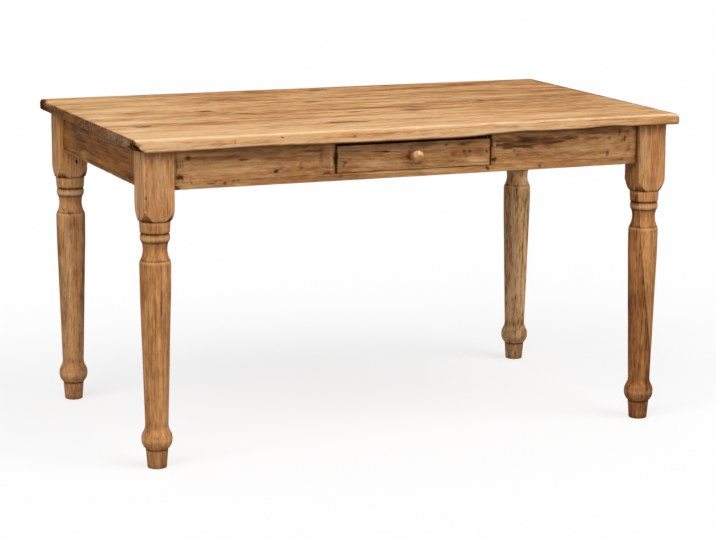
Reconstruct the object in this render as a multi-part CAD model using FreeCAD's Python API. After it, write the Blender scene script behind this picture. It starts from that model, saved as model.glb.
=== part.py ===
"""Rustic dining table: a plank top on four turned legs, with aprons and one drawer.

Millimetres. The origin is on the floor under the middle of the top, +X runs along the length,
+Y to the back and +Z up. The drawer faces -Y.
"""
import FreeCAD, Part
import math
import os

# Overall size
table_length = 1372.0
table_width = 800.0
table_height = 762.0

# Top: boards edge to edge, held by loose tongues in stopped grooves
top_thickness = 27.0
board_count = 7
top_corner_radius = 6.5
top_upper_round = 6.0
top_lower_round = 3.0
tongue_thickness = 7.0
tongue_width = 24.0
tongue_end_margin = 60.0

# Legs: square head, turned below
end_overhang = 25.0
side_overhang = 18.0
leg_block = 73.0
leg_block_length = 162.5
leg_arris_round = 3.0
shoulder_height = 29.5
shoulder_ledge = 2.1

# Turning, from the block down to the floor; a bow is how far a curve stands off its chord, outwards
shoulder_bow = 1.2
collar_height = 27.0
collar_top_diameter = 71.6
collar_bottom_diameter = 68.0
collar_undercut = 1.2
quirk_height = 4.0
quirk_diameter = 62.8
bead_height = 16.0
bead_diameter = 65.4
bead_bow = 1.6
cove_height = 42.0
cove_top_diameter = 63.2
cove_bow = -4.3
neck_diameter = 66.4
neck_height = 2.0
shaft_round_height = 12.0
shaft_round_diameter = 68.4
shaft_round_bow = 0.9
turning_allowance = 0.4
shaft_swell_height = 66.0
shaft_swell_drop = 0.8
shaft_swell_bow = 0.2
ankle_diameter = 53.6
ring_cove_height = 17.0
ring_cove_bow = -1.1
ring_shoulder_diameter = 62.6
ring_shoulder_height = 16.0
ring_shoulder_bow = 1.2
ring_diameter = 71.4
ring_lower_height = 24.0
ring_lower_bow = 2.9
ring_seat_diameter = 52.6
foot_groove_height = 2.0
foot_groove_depth = 0.8
foot_height = 43.0
foot_top_diameter = 51.5
foot_bottom_diameter = 45.0
foot_edge_round = 2.5

# Aprons and the rail under the drawer
apron_height = 95.0
apron_thickness = 22.0
long_apron_setback = 14.0
end_apron_setback = 12.0
apron_arris_round = 2.0
rail_height = 17.0
tenon_thickness = 10.0
tenon_length = 32.0
tenon_shoulder = 12.0
rail_tenon_shoulder = 3.0

# Corner blocks, notched round the leg heads
corner_block_height = 60.0
corner_block_drop = 17.0
corner_block_toe = 70.0
corner_screw_setback = 38.0
corner_screw_spread = 30.0

# Wooden buttons that hold the top to the aprons
button_width = 40.0
button_depth = 34.0
button_height = 22.0
button_gap = 3.0
button_tongue_reach = 9.0
button_tongue_thickness = 9.0
button_tongue_drop = 10.0
button_slot_play = 6.0
end_button_board = 3

# Drawer
drawer_width = 390.0
drawer_length = 450.0
drawer_front_thickness = 20.0
drawer_side_thickness = 12.0
drawer_back_thickness = 12.0
drawer_back_drop = 4.0
drawer_bottom_thickness = 6.0
drawer_bottom_height = 8.0
drawer_groove_depth = 5.0
drawer_top_gap = 14.0
drawer_bottom_gap = 1.0
drawer_end_gap = 3.5
front_arris_round = 1.5
tail_count = 2
tail_length = 14.0
tail_slope = 1.0 / 6.0
tail_pin_width = 8.0
tail_half_pin = 5.0
back_pin_count = 2
back_pin_width = 11.0

# Knob
knob_diameter = 32.0
knob_projection = 30.0
knob_base_diameter = 20.0
knob_neck_bow = -3.5
knob_lip_height = 15.0
knob_lip_diameter = 22.0
knob_lip_bow = 1.3
knob_widest_height = 21.5
knob_dome_bow = 2.4
knob_flat_diameter = 5.0
knob_drop = 1.5

# Drawer bay
runner_lip = 6.0
runner_tenon_length = 10.0
runner_tenon_thickness = 8.0
runner_tenon_shoulder = 6.0
guide_width = 16.0
guide_height = 25.0
guide_screw_count = 4
kicker_height = 13.5
stop_length = 20.0
stop_height = 20.0

# Screws and nails
screw_diameter = 4.5
screw_head_diameter = 8.5
screw_head_height = 3.0
screw_tip = 4.0
screw_bite = 12.0
nail_diameter = 2.0
nail_head_diameter = 4.5
nail_head_height = 1.0
nail_bite = 15.0
nail_count = 3

# Fits
joint_clearance = 0.1
mortise_end_gap = 1.5
slide_gap = 0.3
guide_gap = 1.5
kicker_gap = 1.5
stop_gap = 0.3
cut_past = 5.0
same_place = 1e-6

# Levels and faces that the pieces share
underside = table_height - top_thickness
apron_bottom = underside - apron_height
rail_top = apron_bottom + rail_height
leg_x = table_length / 2 - end_overhang - leg_block / 2
leg_y = table_width / 2 - side_overhang - leg_block / 2
leg_inner_x = leg_x - leg_block / 2
leg_inner_y = leg_y - leg_block / 2
long_apron_outer = leg_y + leg_block / 2 - long_apron_setback
long_apron_inner = long_apron_outer - apron_thickness
end_apron_outer = leg_x + leg_block / 2 - end_apron_setback
end_apron_inner = end_apron_outer - apron_thickness
long_tenon_y = (long_apron_outer + long_apron_inner) / 2
end_tenon_x = (end_apron_outer + end_apron_inner) / 2
drawer_half = drawer_width / 2
opening_half = drawer_half + drawer_end_gap
drawer_inner_half = drawer_half - drawer_side_thickness
drawer_face_y = -long_apron_outer
drawer_inner_y = drawer_face_y + drawer_front_thickness
drawer_end_y = drawer_face_y + drawer_length
drawer_back_y = drawer_end_y - drawer_back_thickness
drawer_side_bottom = rail_top + slide_gap
drawer_side_top = underside - kicker_height - kicker_gap
drawer_front_bottom = rail_top + drawer_bottom_gap
drawer_front_top = underside - drawer_top_gap
drawer_floor_bottom = drawer_side_bottom + drawer_bottom_height
drawer_floor_top = drawer_floor_bottom + drawer_bottom_thickness
guide_inner = drawer_half + guide_gap
guide_outer = guide_inner + guide_width
runner_inner = drawer_inner_half - runner_lip
board_width = table_width / board_count

across = FreeCAD.Vector(1, 0, 0)
back = FreeCAD.Vector(0, 1, 0)
up = FreeCAD.Vector(0, 0, 1)
origin = FreeCAD.Vector(0, 0, 0)


def block(low, high, grow=0.0):
    """A box between two corners, grown by the same amount on every side."""
    size = [high[i] - low[i] + 2 * grow for i in range(3)]
    return Part.makeBox(size[0], size[1], size[2], FreeCAD.Vector(*[value - grow for value in low]))


def turned(profile):
    """The solid that a profile sweeps about the Z axis in one full turn.

    The profile runs upwards from the axis and back to it as (radius, height, bow) points. The bow
    belongs to the edge that ends at the point: 0 is straight, and a positive bow stands outwards.
    """
    edges = []
    for (radius, height, _), (next_radius, next_height, bow) in zip(profile, profile[1:]):
        start = FreeCAD.Vector(radius, 0, height)
        end = FreeCAD.Vector(next_radius, 0, next_height)
        if bow:
            outward = FreeCAD.Vector(end.z - start.z, 0, start.x - end.x).normalize()
            edges.append(Part.Arc(start, (start + end) * 0.5 + outward * bow, end).toShape())
        else:
            edges.append(Part.makeLine(start, end))
    first = FreeCAD.Vector(profile[0][0], 0, profile[0][1])
    last = FreeCAD.Vector(profile[-1][0], 0, profile[-1][1])
    edges.append(Part.makeLine(last, first))
    return Part.Face(Part.Wire(edges)).revolve(origin, up, 360)


def mirrored(shape):
    """The same piece on the other end of the table."""
    return shape.mirror(origin, across)


def on_four_corners(shapes):
    """Pieces of the front left corner, repeated at the other three."""
    left = shapes + [shape.mirror(origin, back) for shape in shapes]
    return left + [mirrored(shape) for shape in left]


def drilled(shape, holes):
    """The piece with every hole cut that reaches it."""
    for hole in holes:
        if shape.BoundBox.intersect(hole.BoundBox):
            shape = shape.cut(hole)
    return shape


def long_edges(shape, direction):
    """The straight edges of a box that run along one direction."""
    return [edge for edge in shape.Edges
            if edge.tangentAt(edge.FirstParameter).cross(direction).Length < same_place]


def fastener(diameter, head_diameter, head_height, tip, length, grow=0.0, reach=0.0):
    """A screw or nail from its head at Z = 0 up to its point; grown and reaching out, it is its own hole."""
    shank = diameter / 2 + grow
    head = head_diameter / 2 + grow
    points = [(0, -reach), (head, -reach), (head, head_height), (shank, head_height)]
    points += [(shank, length - tip + grow), (0, length + grow)]
    return turned([(radius, height, 0) for radius, height in points])


def screws_at(places, length):
    """Screws and their holes, one for each (head position, driving direction)."""
    solids = []
    holes = []
    for position, direction in places:
        placement = FreeCAD.Placement(position, FreeCAD.Rotation(up, direction))
        screw_sizes = (screw_diameter, screw_head_diameter, screw_head_height, screw_tip, length)
        for result, grow, reach in ((solids, 0.0, 0.0), (holes, joint_clearance, cut_past)):
            solid = fastener(*screw_sizes, grow, reach)
            solid.Placement = placement
            result.append(solid)
    return solids, holes


def long_tenon(side, front, low, high):
    """Corners of a tenon at one end of a front or back piece: side and front are -1 or 1."""
    ends = sorted((side * leg_inner_x, side * (leg_inner_x + tenon_length)))
    middle = front * long_tenon_y
    half = tenon_thickness / 2
    return (ends[0], middle - half, low), (ends[1], middle + half, high)


def end_tenon(side, front, low, high):
    """Corners of a tenon at one end of an end apron."""
    ends = sorted((front * leg_inner_y, front * (leg_inner_y + tenon_length)))
    middle = side * end_tenon_x
    half = tenon_thickness / 2
    return (middle - half, ends[0], low), (middle + half, ends[1], high)


def mortise(tenon, direction):
    """The pocket for a tenon, a little roomier and deeper than it."""
    pocket = block(*tenon, joint_clearance)
    return pocket.fuse(pocket.translated(direction * mortise_end_gap))


def eased(shape, direction, level, radius):
    """A board with its two long arrises at one level rounded."""
    edges = [edge for edge in long_edges(shape, direction) if abs(edge.CenterOfMass.z - level) < same_place]
    return shape.makeFillet(radius, edges)


def leg():
    """One leg about the Z axis: the turning, and the block with its turned shoulder."""
    ledge = underside - leg_block_length
    collar_top = ledge - collar_undercut
    collar_bottom = ledge - collar_height
    quirk = collar_bottom - quirk_height / 2
    bead_top = collar_bottom - quirk_height
    bead_bottom = bead_top - bead_height
    cove_bottom = bead_bottom - cove_height
    shaft_top = cove_bottom - neck_height
    shaft_round = shaft_top - shaft_round_height
    swell = shaft_round - shaft_swell_height
    foot_groove = foot_height + foot_groove_height / 2
    ring_seat = foot_height + foot_groove_height
    ring_middle = ring_seat + ring_lower_height
    ring_shoulder = ring_middle + ring_shoulder_height
    ankle = ring_shoulder + ring_cove_height
    shaft_radius = leg_block / 2 - turning_allowance
    foot_radius = foot_bottom_diameter / 2
    foot_edge_bow = foot_edge_round * (1 - math.sqrt(0.5))
    turning = turned([
        (0, 0, 0),
        (foot_radius - foot_edge_round, 0, 0),
        (foot_radius, foot_edge_round, foot_edge_bow),
        (foot_top_diameter / 2, foot_height, 0),
        (foot_top_diameter / 2 - foot_groove_depth, foot_groove, 0),
        (ring_seat_diameter / 2, ring_seat, 0),
        (ring_diameter / 2, ring_middle, ring_lower_bow),
        (ring_shoulder_diameter / 2, ring_shoulder, ring_shoulder_bow),
        (ankle_diameter / 2, ankle, ring_cove_bow),
        (shaft_radius - shaft_swell_drop, swell, 0),
        (shaft_radius, shaft_round, shaft_swell_bow),
        (shaft_round_diameter / 2, shaft_top, shaft_round_bow),
        (neck_diameter / 2, shaft_top, 0),
        (neck_diameter / 2, cove_bottom, 0),
        (cove_top_diameter / 2, bead_bottom, cove_bow),
        (bead_diameter / 2, bead_bottom, 0),
        (bead_diameter / 2, bead_top, bead_bow),
        (quirk_diameter / 2, quirk, 0),
        (collar_bottom_diameter / 2, collar_bottom, 0),
        (collar_top_diameter / 2, collar_top, 0),
        (collar_top_diameter / 2 - collar_undercut, ledge, 0),
        (0, ledge, 0),
    ])
    half = leg_block / 2
    head = block((-half, -half, ledge), (half, half, underside))
    head = head.makeFillet(leg_arris_round, long_edges(head, up))
    corner = math.hypot(half, half)
    head_envelope = turned([
        (0, ledge, 0),
        (half + shoulder_ledge, ledge, 0),
        (corner, ledge + shoulder_height, shoulder_bow),
        (corner, underside, 0),
        (0, underside, 0),
    ])
    return turning.fuse(head.common(head_envelope)).removeSplitter()


def top_plate():
    """The whole top as one plate with rounded corners and eased edges, before it is parted into boards."""
    half_length = table_length / 2
    half_width = table_width / 2
    plate = block((-half_length, -half_width, underside), (half_length, half_width, table_height))
    plate = plate.makeFillet(top_corner_radius, long_edges(plate, up))
    for level, radius in ((table_height, top_upper_round), (underside, top_lower_round)):
        rim = [edge for edge in plate.Edges if abs(edge.CenterOfMass.z - level) < same_place]
        plate = plate.makeFillet(radius, rim)
    return plate


def button():
    """One button and its slot: the apron's inner face is Y = 0 and the top's underside is Z = 0."""
    half = button_width / 2
    body = block((-half, button_gap, -button_height), (half, button_depth, 0))
    tongue_bottom = -button_tongue_drop - button_tongue_thickness
    tongue = ((-half, -button_tongue_reach, tongue_bottom), (half, button_gap, -button_tongue_drop))
    slot_half = half + button_slot_play
    slot = block((-slot_half, -button_tongue_reach - mortise_end_gap, tongue_bottom),
                 (slot_half, 0, -button_tongue_drop), joint_clearance)
    return body.fuse(block(*tongue)).removeSplitter(), slot


def corner_block():
    """The front left corner block, its screws and their holes: a notched wedge between the two aprons."""
    toe_x = FreeCAD.Vector(-leg_inner_x + corner_block_toe, -long_apron_inner, 0)
    toe_y = FreeCAD.Vector(-end_apron_inner, -leg_inner_y + corner_block_toe, 0)
    notch = [FreeCAD.Vector(-end_apron_inner, -leg_inner_y, 0), FreeCAD.Vector(-leg_inner_x, -leg_inner_y, 0),
             FreeCAD.Vector(-leg_inner_x, -long_apron_inner, 0)]
    plan = Part.makePolygon([toe_x, toe_y] + notch + [toe_x])
    bottom = underside - corner_block_drop - corner_block_height
    wedge = Part.Face(plan).extrude(up * corner_block_height).translated(up * bottom)
    rise = (toe_y.y - toe_x.y) / (toe_x.x - toe_y.x)
    seat = (corner_screw_setback - screw_head_diameter / 2 - joint_clearance) * min(rise, 1 / rise)
    places = []
    for step in (-0.5, 0.5):
        level = bottom + corner_block_height / 2 + step * corner_screw_spread
        places.append((FreeCAD.Vector(toe_x.x - corner_screw_setback, toe_x.y + seat, level), -back))
        places.append((FreeCAD.Vector(toe_y.x + seat, toe_y.y - corner_screw_setback, level), -across))
    screws, holes = screws_at(places, seat + screw_bite)
    return drilled(wedge, holes), screws, holes


def dovetail_side():
    """The right drawer side before its groove: a board with tails at the front end."""
    height = drawer_side_top - drawer_side_bottom
    tail_width = (height - 2 * tail_half_pin - (tail_count - 1) * tail_pin_width) / tail_count
    side = block((drawer_inner_half, drawer_inner_y, drawer_side_bottom),
                 (drawer_half, drawer_end_y, drawer_side_top))
    for index in range(tail_count):
        low = drawer_side_bottom + tail_half_pin + index * (tail_width + tail_pin_width)
        high = low + tail_width
        flare = tail_length * tail_slope
        tip = drawer_inner_y - tail_length
        corners = [(drawer_inner_y, low + flare), (tip, low), (tip, high), (drawer_inner_y, high - flare),
                   (drawer_inner_y, low + flare)]
        outline = Part.makePolygon([FreeCAD.Vector(drawer_inner_half, y, z) for y, z in corners])
        side = side.fuse(Part.Face(outline).extrude(across * drawer_side_thickness))
    return side.removeSplitter()


def back_board():
    """The drawer back above the bottom panel, with pins at both ends that the sides' rear sockets fit."""
    bottom = drawer_floor_top + joint_clearance
    top = drawer_side_top - drawer_back_drop
    board = block((-drawer_inner_half, drawer_back_y, bottom), (drawer_inner_half, drawer_end_y, top))
    narrow = back_pin_width / 2 - drawer_back_thickness * tail_slope
    for index in range(back_pin_count):
        level = bottom + (index + 0.5) * (top - bottom) / back_pin_count
        wide = back_pin_width / 2
        corners = [(drawer_back_y, level - wide), (drawer_end_y, level - narrow),
                   (drawer_end_y, level + narrow), (drawer_back_y, level + wide),
                   (drawer_back_y, level - wide)]
        outline = Part.makePolygon([FreeCAD.Vector(-drawer_half, y, z) for y, z in corners])
        board = board.fuse(Part.Face(outline).extrude(across * drawer_width))
    return board.removeSplitter()


def knob():
    """The turned knob a little below the middle of the drawer front, and its screw head's place."""
    blank = turned([
        (0, 0, 0),
        (knob_base_diameter / 2, 0, 0),
        (knob_lip_diameter / 2, knob_lip_height, knob_neck_bow),
        (knob_diameter / 2, knob_widest_height, knob_lip_bow),
        (knob_flat_diameter / 2, knob_projection, knob_dome_bow),
        (0, knob_projection, 0),
    ])
    level = (drawer_front_bottom + drawer_front_top) / 2 - knob_drop
    blank.Placement = FreeCAD.Placement(FreeCAD.Vector(0, drawer_face_y, level), FreeCAD.Rotation(up, -back))
    return blank, FreeCAD.Vector(0, drawer_inner_y + screw_head_height, level)


nodes = {}

# Aprons: tenons reach into the leg heads
tenon_low = apron_bottom + tenon_shoulder
tenon_high = underside - tenon_shoulder
rail_tenons = [long_tenon(side, -1, apron_bottom + rail_tenon_shoulder, rail_top - rail_tenon_shoulder)
               for side in (-1, 1)]
front_tenon = long_tenon(-1, -1, rail_top + tenon_shoulder, tenon_high)
back_tenons = [long_tenon(side, 1, tenon_low, tenon_high) for side in (-1, 1)]
end_tenons = [end_tenon(-1, front, tenon_low, tenon_high) for front in (-1, 1)]

front_rail = block((-leg_inner_x, -long_apron_outer, apron_bottom),
                   (leg_inner_x, -long_apron_inner, rail_top))
front_rail = eased(front_rail, across, apron_bottom, apron_arris_round)
front_rail = front_rail.fuse([block(*tenon) for tenon in rail_tenons])
front_apron = block((-leg_inner_x, -long_apron_outer, rail_top),
                    (-opening_half, -long_apron_inner, underside))
front_apron = front_apron.fuse(block(*front_tenon))
back_apron = block((-leg_inner_x, long_apron_inner, apron_bottom),
                   (leg_inner_x, long_apron_outer, underside))
back_apron = eased(back_apron, across, apron_bottom, apron_arris_round)
back_apron = back_apron.fuse([block(*tenon) for tenon in back_tenons])
end_apron = block((-end_apron_outer, -leg_inner_y, apron_bottom),
                  (-end_apron_inner, leg_inner_y, underside))
end_apron = eased(end_apron, back, apron_bottom, apron_arris_round)
end_apron = end_apron.fuse([block(*tenon) for tenon in end_tenons])

# Legs: one blank, set on four corners and mortised for what meets it there
blank_leg = leg()
front_leg = blank_leg.translated(FreeCAD.Vector(-leg_x, -leg_y, 0))
for tenon, direction in ((rail_tenons[0], -across), (front_tenon, -across), (end_tenons[0], -back)):
    front_leg = front_leg.cut(mortise(tenon, direction))
back_leg = blank_leg.translated(FreeCAD.Vector(-leg_x, leg_y, 0))
for tenon, direction in ((back_tenons[0], -across), (end_tenons[1], back)):
    back_leg = back_leg.cut(mortise(tenon, direction))
nodes["leg_front_left"] = front_leg
nodes["leg_front_right"] = mirrored(front_leg)
nodes["leg_back_left"] = back_leg
nodes["leg_back_right"] = mirrored(back_leg)

# Corner blocks and their screws at the four corners
front_block, front_block_screws, front_block_holes = corner_block()
nodes["corner_block_front_left"] = front_block
nodes["corner_block_front_right"] = mirrored(front_block)
nodes["corner_block_back_left"] = front_block.mirror(origin, back)
nodes["corner_block_back_right"] = mirrored(nodes["corner_block_back_left"])
corner_screws = on_four_corners(front_block_screws)
corner_holes = on_four_corners(front_block_holes)
nodes["corner_block_screws"] = Part.makeCompound(corner_screws)

# Buttons along the aprons, each turned to face into the frame, with their slots and screws
button_blank, slot_blank = button()
button_x = (leg_inner_x + opening_half) / 2
end_button_y = (table_width + board_width) / 2 - end_button_board * board_width
button_places = [(side * button_x, -long_apron_inner, 0) for side in (-1, 1)]
button_places += [(x, long_apron_inner, 180) for x in (-button_x, 0, button_x)]
button_places += [(-end_apron_inner, y, -90) for y in (-end_button_y, end_button_y)]
button_places += [(end_apron_inner, y, 90) for y in (-end_button_y, end_button_y)]
buttons = []
slots = []
button_screw_places = []
for x, y, turn in button_places:
    place = FreeCAD.Placement(FreeCAD.Vector(x, y, underside), FreeCAD.Rotation(up, turn))
    button_middle = FreeCAD.Vector(0, (button_gap + button_depth) / 2, -button_height)
    button_screw_places.append((place.multVec(button_middle), up))
    for result, blank in ((buttons, button_blank), (slots, slot_blank)):
        copy = blank.copy()
        copy.Placement = place
        result.append(copy)
button_screws, button_holes = screws_at(button_screw_places, button_height + screw_bite)
nodes["top_buttons"] = Part.makeCompound([drilled(piece, button_holes) for piece in buttons])
nodes["top_button_screws"] = Part.makeCompound(button_screws)

# Drawer bay: runner, side guide and kicker on each side, from the front to the back apron
runner_tenon_middle = (apron_bottom + rail_top) / 2
runner_tenon_half = runner_tenon_thickness / 2
runner_tenon = ((runner_inner + runner_tenon_shoulder, -long_apron_inner - runner_tenon_length,
                 runner_tenon_middle - runner_tenon_half),
                (guide_outer - runner_tenon_shoulder, long_apron_inner + runner_tenon_length,
                 runner_tenon_middle + runner_tenon_half))
runner = block((runner_inner, -long_apron_inner, apron_bottom), (guide_outer, long_apron_inner, rail_top))
runner = runner.fuse(block(*runner_tenon)).removeSplitter()
runner_pocket = block(*runner_tenon, joint_clearance)
guide_top = rail_top + guide_height
guide = block((guide_inner, -long_apron_inner, rail_top), (guide_outer, long_apron_inner, guide_top))
kicker = block((runner_inner, -long_apron_inner, underside - kicker_height),
               (guide_outer, long_apron_inner, underside))
stop = block((drawer_inner_half, drawer_end_y + stop_gap, rail_top),
             (drawer_half, drawer_end_y + stop_gap + stop_length, rail_top + stop_height))
guide_middle = (guide_inner + guide_outer) / 2
guide_pitch = 2 * long_apron_inner / guide_screw_count
guide_screw_places = []
for index in range(guide_screw_count):
    guide_screw_y = -long_apron_inner + (index + 0.5) * guide_pitch
    guide_screw_places.append((FreeCAD.Vector(guide_middle, guide_screw_y, guide_top), -up))
guide_screws, guide_holes = screws_at(guide_screw_places, guide_height + screw_bite)
kicker_middle = (runner_inner + guide_outer) / 2
kicker_screw_places = []
for index in range(1, board_count - 1):
    board_middle = (index + 0.5) * board_width - table_width / 2
    kicker_screw_places.append((FreeCAD.Vector(kicker_middle, board_middle, underside - kicker_height), up))
kicker_screws, kicker_holes = screws_at(kicker_screw_places, kicker_height + screw_bite)
bay = {"runner": drilled(runner, guide_holes), "guide": drilled(guide, guide_holes),
       "kicker": drilled(kicker, kicker_holes), "stop": stop}
for name, piece in bay.items():
    nodes["drawer_" + name + "_right"] = piece
    nodes["drawer_" + name + "_left"] = mirrored(piece)
nodes["guide_screws"] = Part.makeCompound(guide_screws + [mirrored(screw) for screw in guide_screws])
nodes["kicker_screws"] = Part.makeCompound(kicker_screws + [mirrored(screw) for screw in kicker_screws])

# Aprons with their slots, pockets and screw holes
runner_pockets = [runner_pocket, mirrored(runner_pocket)]
nodes["front_rail"] = drilled(front_rail, runner_pockets + corner_holes)
nodes["front_apron_left"] = drilled(front_apron, slots + corner_holes)
nodes["front_apron_right"] = mirrored(nodes["front_apron_left"])
nodes["back_apron"] = drilled(back_apron, slots + runner_pockets + corner_holes)
nodes["left_end_apron"] = drilled(end_apron, slots + corner_holes)
nodes["right_end_apron"] = mirrored(nodes["left_end_apron"])

# Top boards: slices of one plate, grooved for the loose tongues and drilled from below
tongue_level = underside + top_thickness / 2
tongue_half_length = table_length / 2 - tongue_end_margin
tongues = []
tongue_grooves = []
for index in range(1, board_count):
    seam = index * board_width - table_width / 2
    corners = ((-tongue_half_length, seam - tongue_width / 2, tongue_level - tongue_thickness / 2),
               (tongue_half_length, seam + tongue_width / 2, tongue_level + tongue_thickness / 2))
    tongues.append(block(*corners))
    tongue_grooves.append(block(*corners, joint_clearance))
nodes["top_tongues"] = Part.makeCompound(tongues)
plate = top_plate()
top_holes = button_holes + kicker_holes + [mirrored(hole) for hole in kicker_holes]
for index in range(board_count):
    board_front = index * board_width - table_width / 2
    strip = block((-table_length / 2, board_front, underside),
                  (table_length / 2, board_front + board_width, table_height))
    nodes["top_board_" + str(index + 1)] = drilled(plate.common(strip), tongue_grooves + top_holes)

# Drawer: sides dovetailed to the front and the back, and a bottom panel in grooves
plain_side = dovetail_side()
panel_half = drawer_inner_half + drawer_groove_depth
panel = ((-panel_half, drawer_inner_y - drawer_groove_depth, drawer_floor_bottom),
         (panel_half, drawer_end_y, drawer_floor_top))
panel_groove = block(*panel, joint_clearance)
drawer_front = block((-drawer_half, drawer_face_y, drawer_front_bottom),
                     (drawer_half, drawer_inner_y, drawer_front_top))
front_outline = [edge for edge in drawer_front.Edges if abs(edge.CenterOfMass.y - drawer_face_y) < same_place]
drawer_front = drawer_front.makeFillet(front_arris_round, front_outline)
knob_blank, knob_screw_head = knob()
knob_screws, knob_holes = screws_at([(knob_screw_head, -back)],
                                    screw_head_height + drawer_front_thickness + screw_bite)
drawer_back = back_board()
drawer_side = plain_side.cut(drawer_back).cut(panel_groove)
nail_places = []
for index in range(nail_count):
    nail_x = ((index + 0.5) / nail_count - 0.5) * 2 * drawer_inner_half
    nail_y = (drawer_back_y + drawer_end_y) / 2
    nail_places.append(FreeCAD.Vector(nail_x, nail_y, drawer_floor_bottom - nail_head_height))
nail_sizes = (nail_diameter, nail_head_diameter, nail_head_height, nail_diameter)
nail_length = nail_head_height + drawer_bottom_thickness + nail_bite
nails = [fastener(*nail_sizes, nail_length).translated(place) for place in nail_places]
nail_holes = [fastener(*nail_sizes, nail_length, joint_clearance).translated(place) for place in nail_places]
dovetail_cuts = [plain_side, mirrored(plain_side), panel_groove]
nodes["drawer_front"] = drilled(drawer_front, dovetail_cuts + knob_holes)
nodes["drawer_side_right"] = drawer_side
nodes["drawer_side_left"] = mirrored(drawer_side)
nodes["drawer_back"] = drilled(drawer_back, nail_holes)
nodes["drawer_bottom"] = drilled(block(*panel), nail_holes)
nodes["drawer_bottom_nails"] = Part.makeCompound(nails)
nodes["drawer_knob"] = drilled(knob_blank, knob_holes)
nodes["knob_screw"] = knob_screws[0]

os.makedirs("parts", exist_ok=True)
for name, shape in nodes.items():
    shape.exportStep("parts/" + name + ".step")
    print(name, len(shape.Solids), "solids,", round(shape.Volume / 1000, 1), "cm3, valid", shape.isValid())
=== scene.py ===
import math

import bpy
import numpy as np
from mathutils import Matrix, Vector


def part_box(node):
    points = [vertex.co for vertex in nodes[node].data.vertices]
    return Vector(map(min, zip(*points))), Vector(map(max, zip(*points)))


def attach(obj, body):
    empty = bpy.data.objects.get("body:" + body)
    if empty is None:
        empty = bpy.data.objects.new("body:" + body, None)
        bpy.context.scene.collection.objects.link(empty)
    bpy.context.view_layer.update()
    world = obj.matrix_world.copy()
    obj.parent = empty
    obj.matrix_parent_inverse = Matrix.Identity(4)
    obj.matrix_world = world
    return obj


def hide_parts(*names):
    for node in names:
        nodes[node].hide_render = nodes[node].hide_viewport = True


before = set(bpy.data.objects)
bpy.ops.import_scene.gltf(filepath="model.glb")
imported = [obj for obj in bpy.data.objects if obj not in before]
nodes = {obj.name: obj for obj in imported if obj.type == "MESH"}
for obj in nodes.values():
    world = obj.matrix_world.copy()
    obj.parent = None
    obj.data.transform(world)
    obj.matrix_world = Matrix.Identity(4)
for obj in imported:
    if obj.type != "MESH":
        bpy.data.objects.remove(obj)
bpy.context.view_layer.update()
mm = 0.001


# Camera: stands where the photograph was taken from
cameraSet = {
    "eye": (-2.2030, -5.2938, 1.4720),
    "target": (0.0139, 0.0, 0.3508),
    "rollDegrees": 0.366,
    "lens": 118.03,          # millimetres
    "sensor": 36.0,
    "farthest": 100.0,
}


def addCamera(settings):
    eye = Vector(settings["eye"])
    forward = (Vector(settings["target"]) - eye).normalized()
    level = forward.cross(Vector((0, 0, 1))).normalized()
    roll = math.radians(settings["rollDegrees"])
    right = level * math.cos(roll) + level.cross(forward) * math.sin(roll)
    up = right.cross(forward)
    data = bpy.data.cameras.new("photoCamera")
    data.lens = settings["lens"]
    data.sensor_width = settings["sensor"]
    data.clip_end = settings["farthest"]
    camera = bpy.data.objects.new("photoCamera", data)
    camera.matrix_world = Matrix.Translation(eye) @ Matrix((right, up, -forward)).transposed().to_4x4()
    bpy.context.scene.collection.objects.link(camera)
    bpy.context.scene.camera = camera


addCamera(cameraSet)
print("camera: set")


# Shader maths: an expression on wires adds its Math nodes
class Wire:
    def __init__(self, graph, socket):
        self.graph = graph
        self.socket = socket

    def other(self, output):
        return Wire(self.graph, self.socket.node.outputs[output])

    def __add__(self, value):
        return self.graph.math("ADD", self, value)

    def __sub__(self, value):
        return self.graph.math("SUBTRACT", self, value)

    def __rsub__(self, value):
        return self.graph.math("SUBTRACT", value, self)

    def __mul__(self, value):
        return self.graph.math("MULTIPLY", self, value)

    def __truediv__(self, value):
        return self.graph.math("DIVIDE", self, value)

    __radd__ = __add__
    __rmul__ = __mul__

    def eased(self, start, end):
        # 0 at start, 1 at end, smooth between; start may be the larger
        return self.graph.node("MapRange", {"interpolation_type": "SMOOTHSTEP"},
                               {"Value": self, "From Min": start, "From Max": end})


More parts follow.
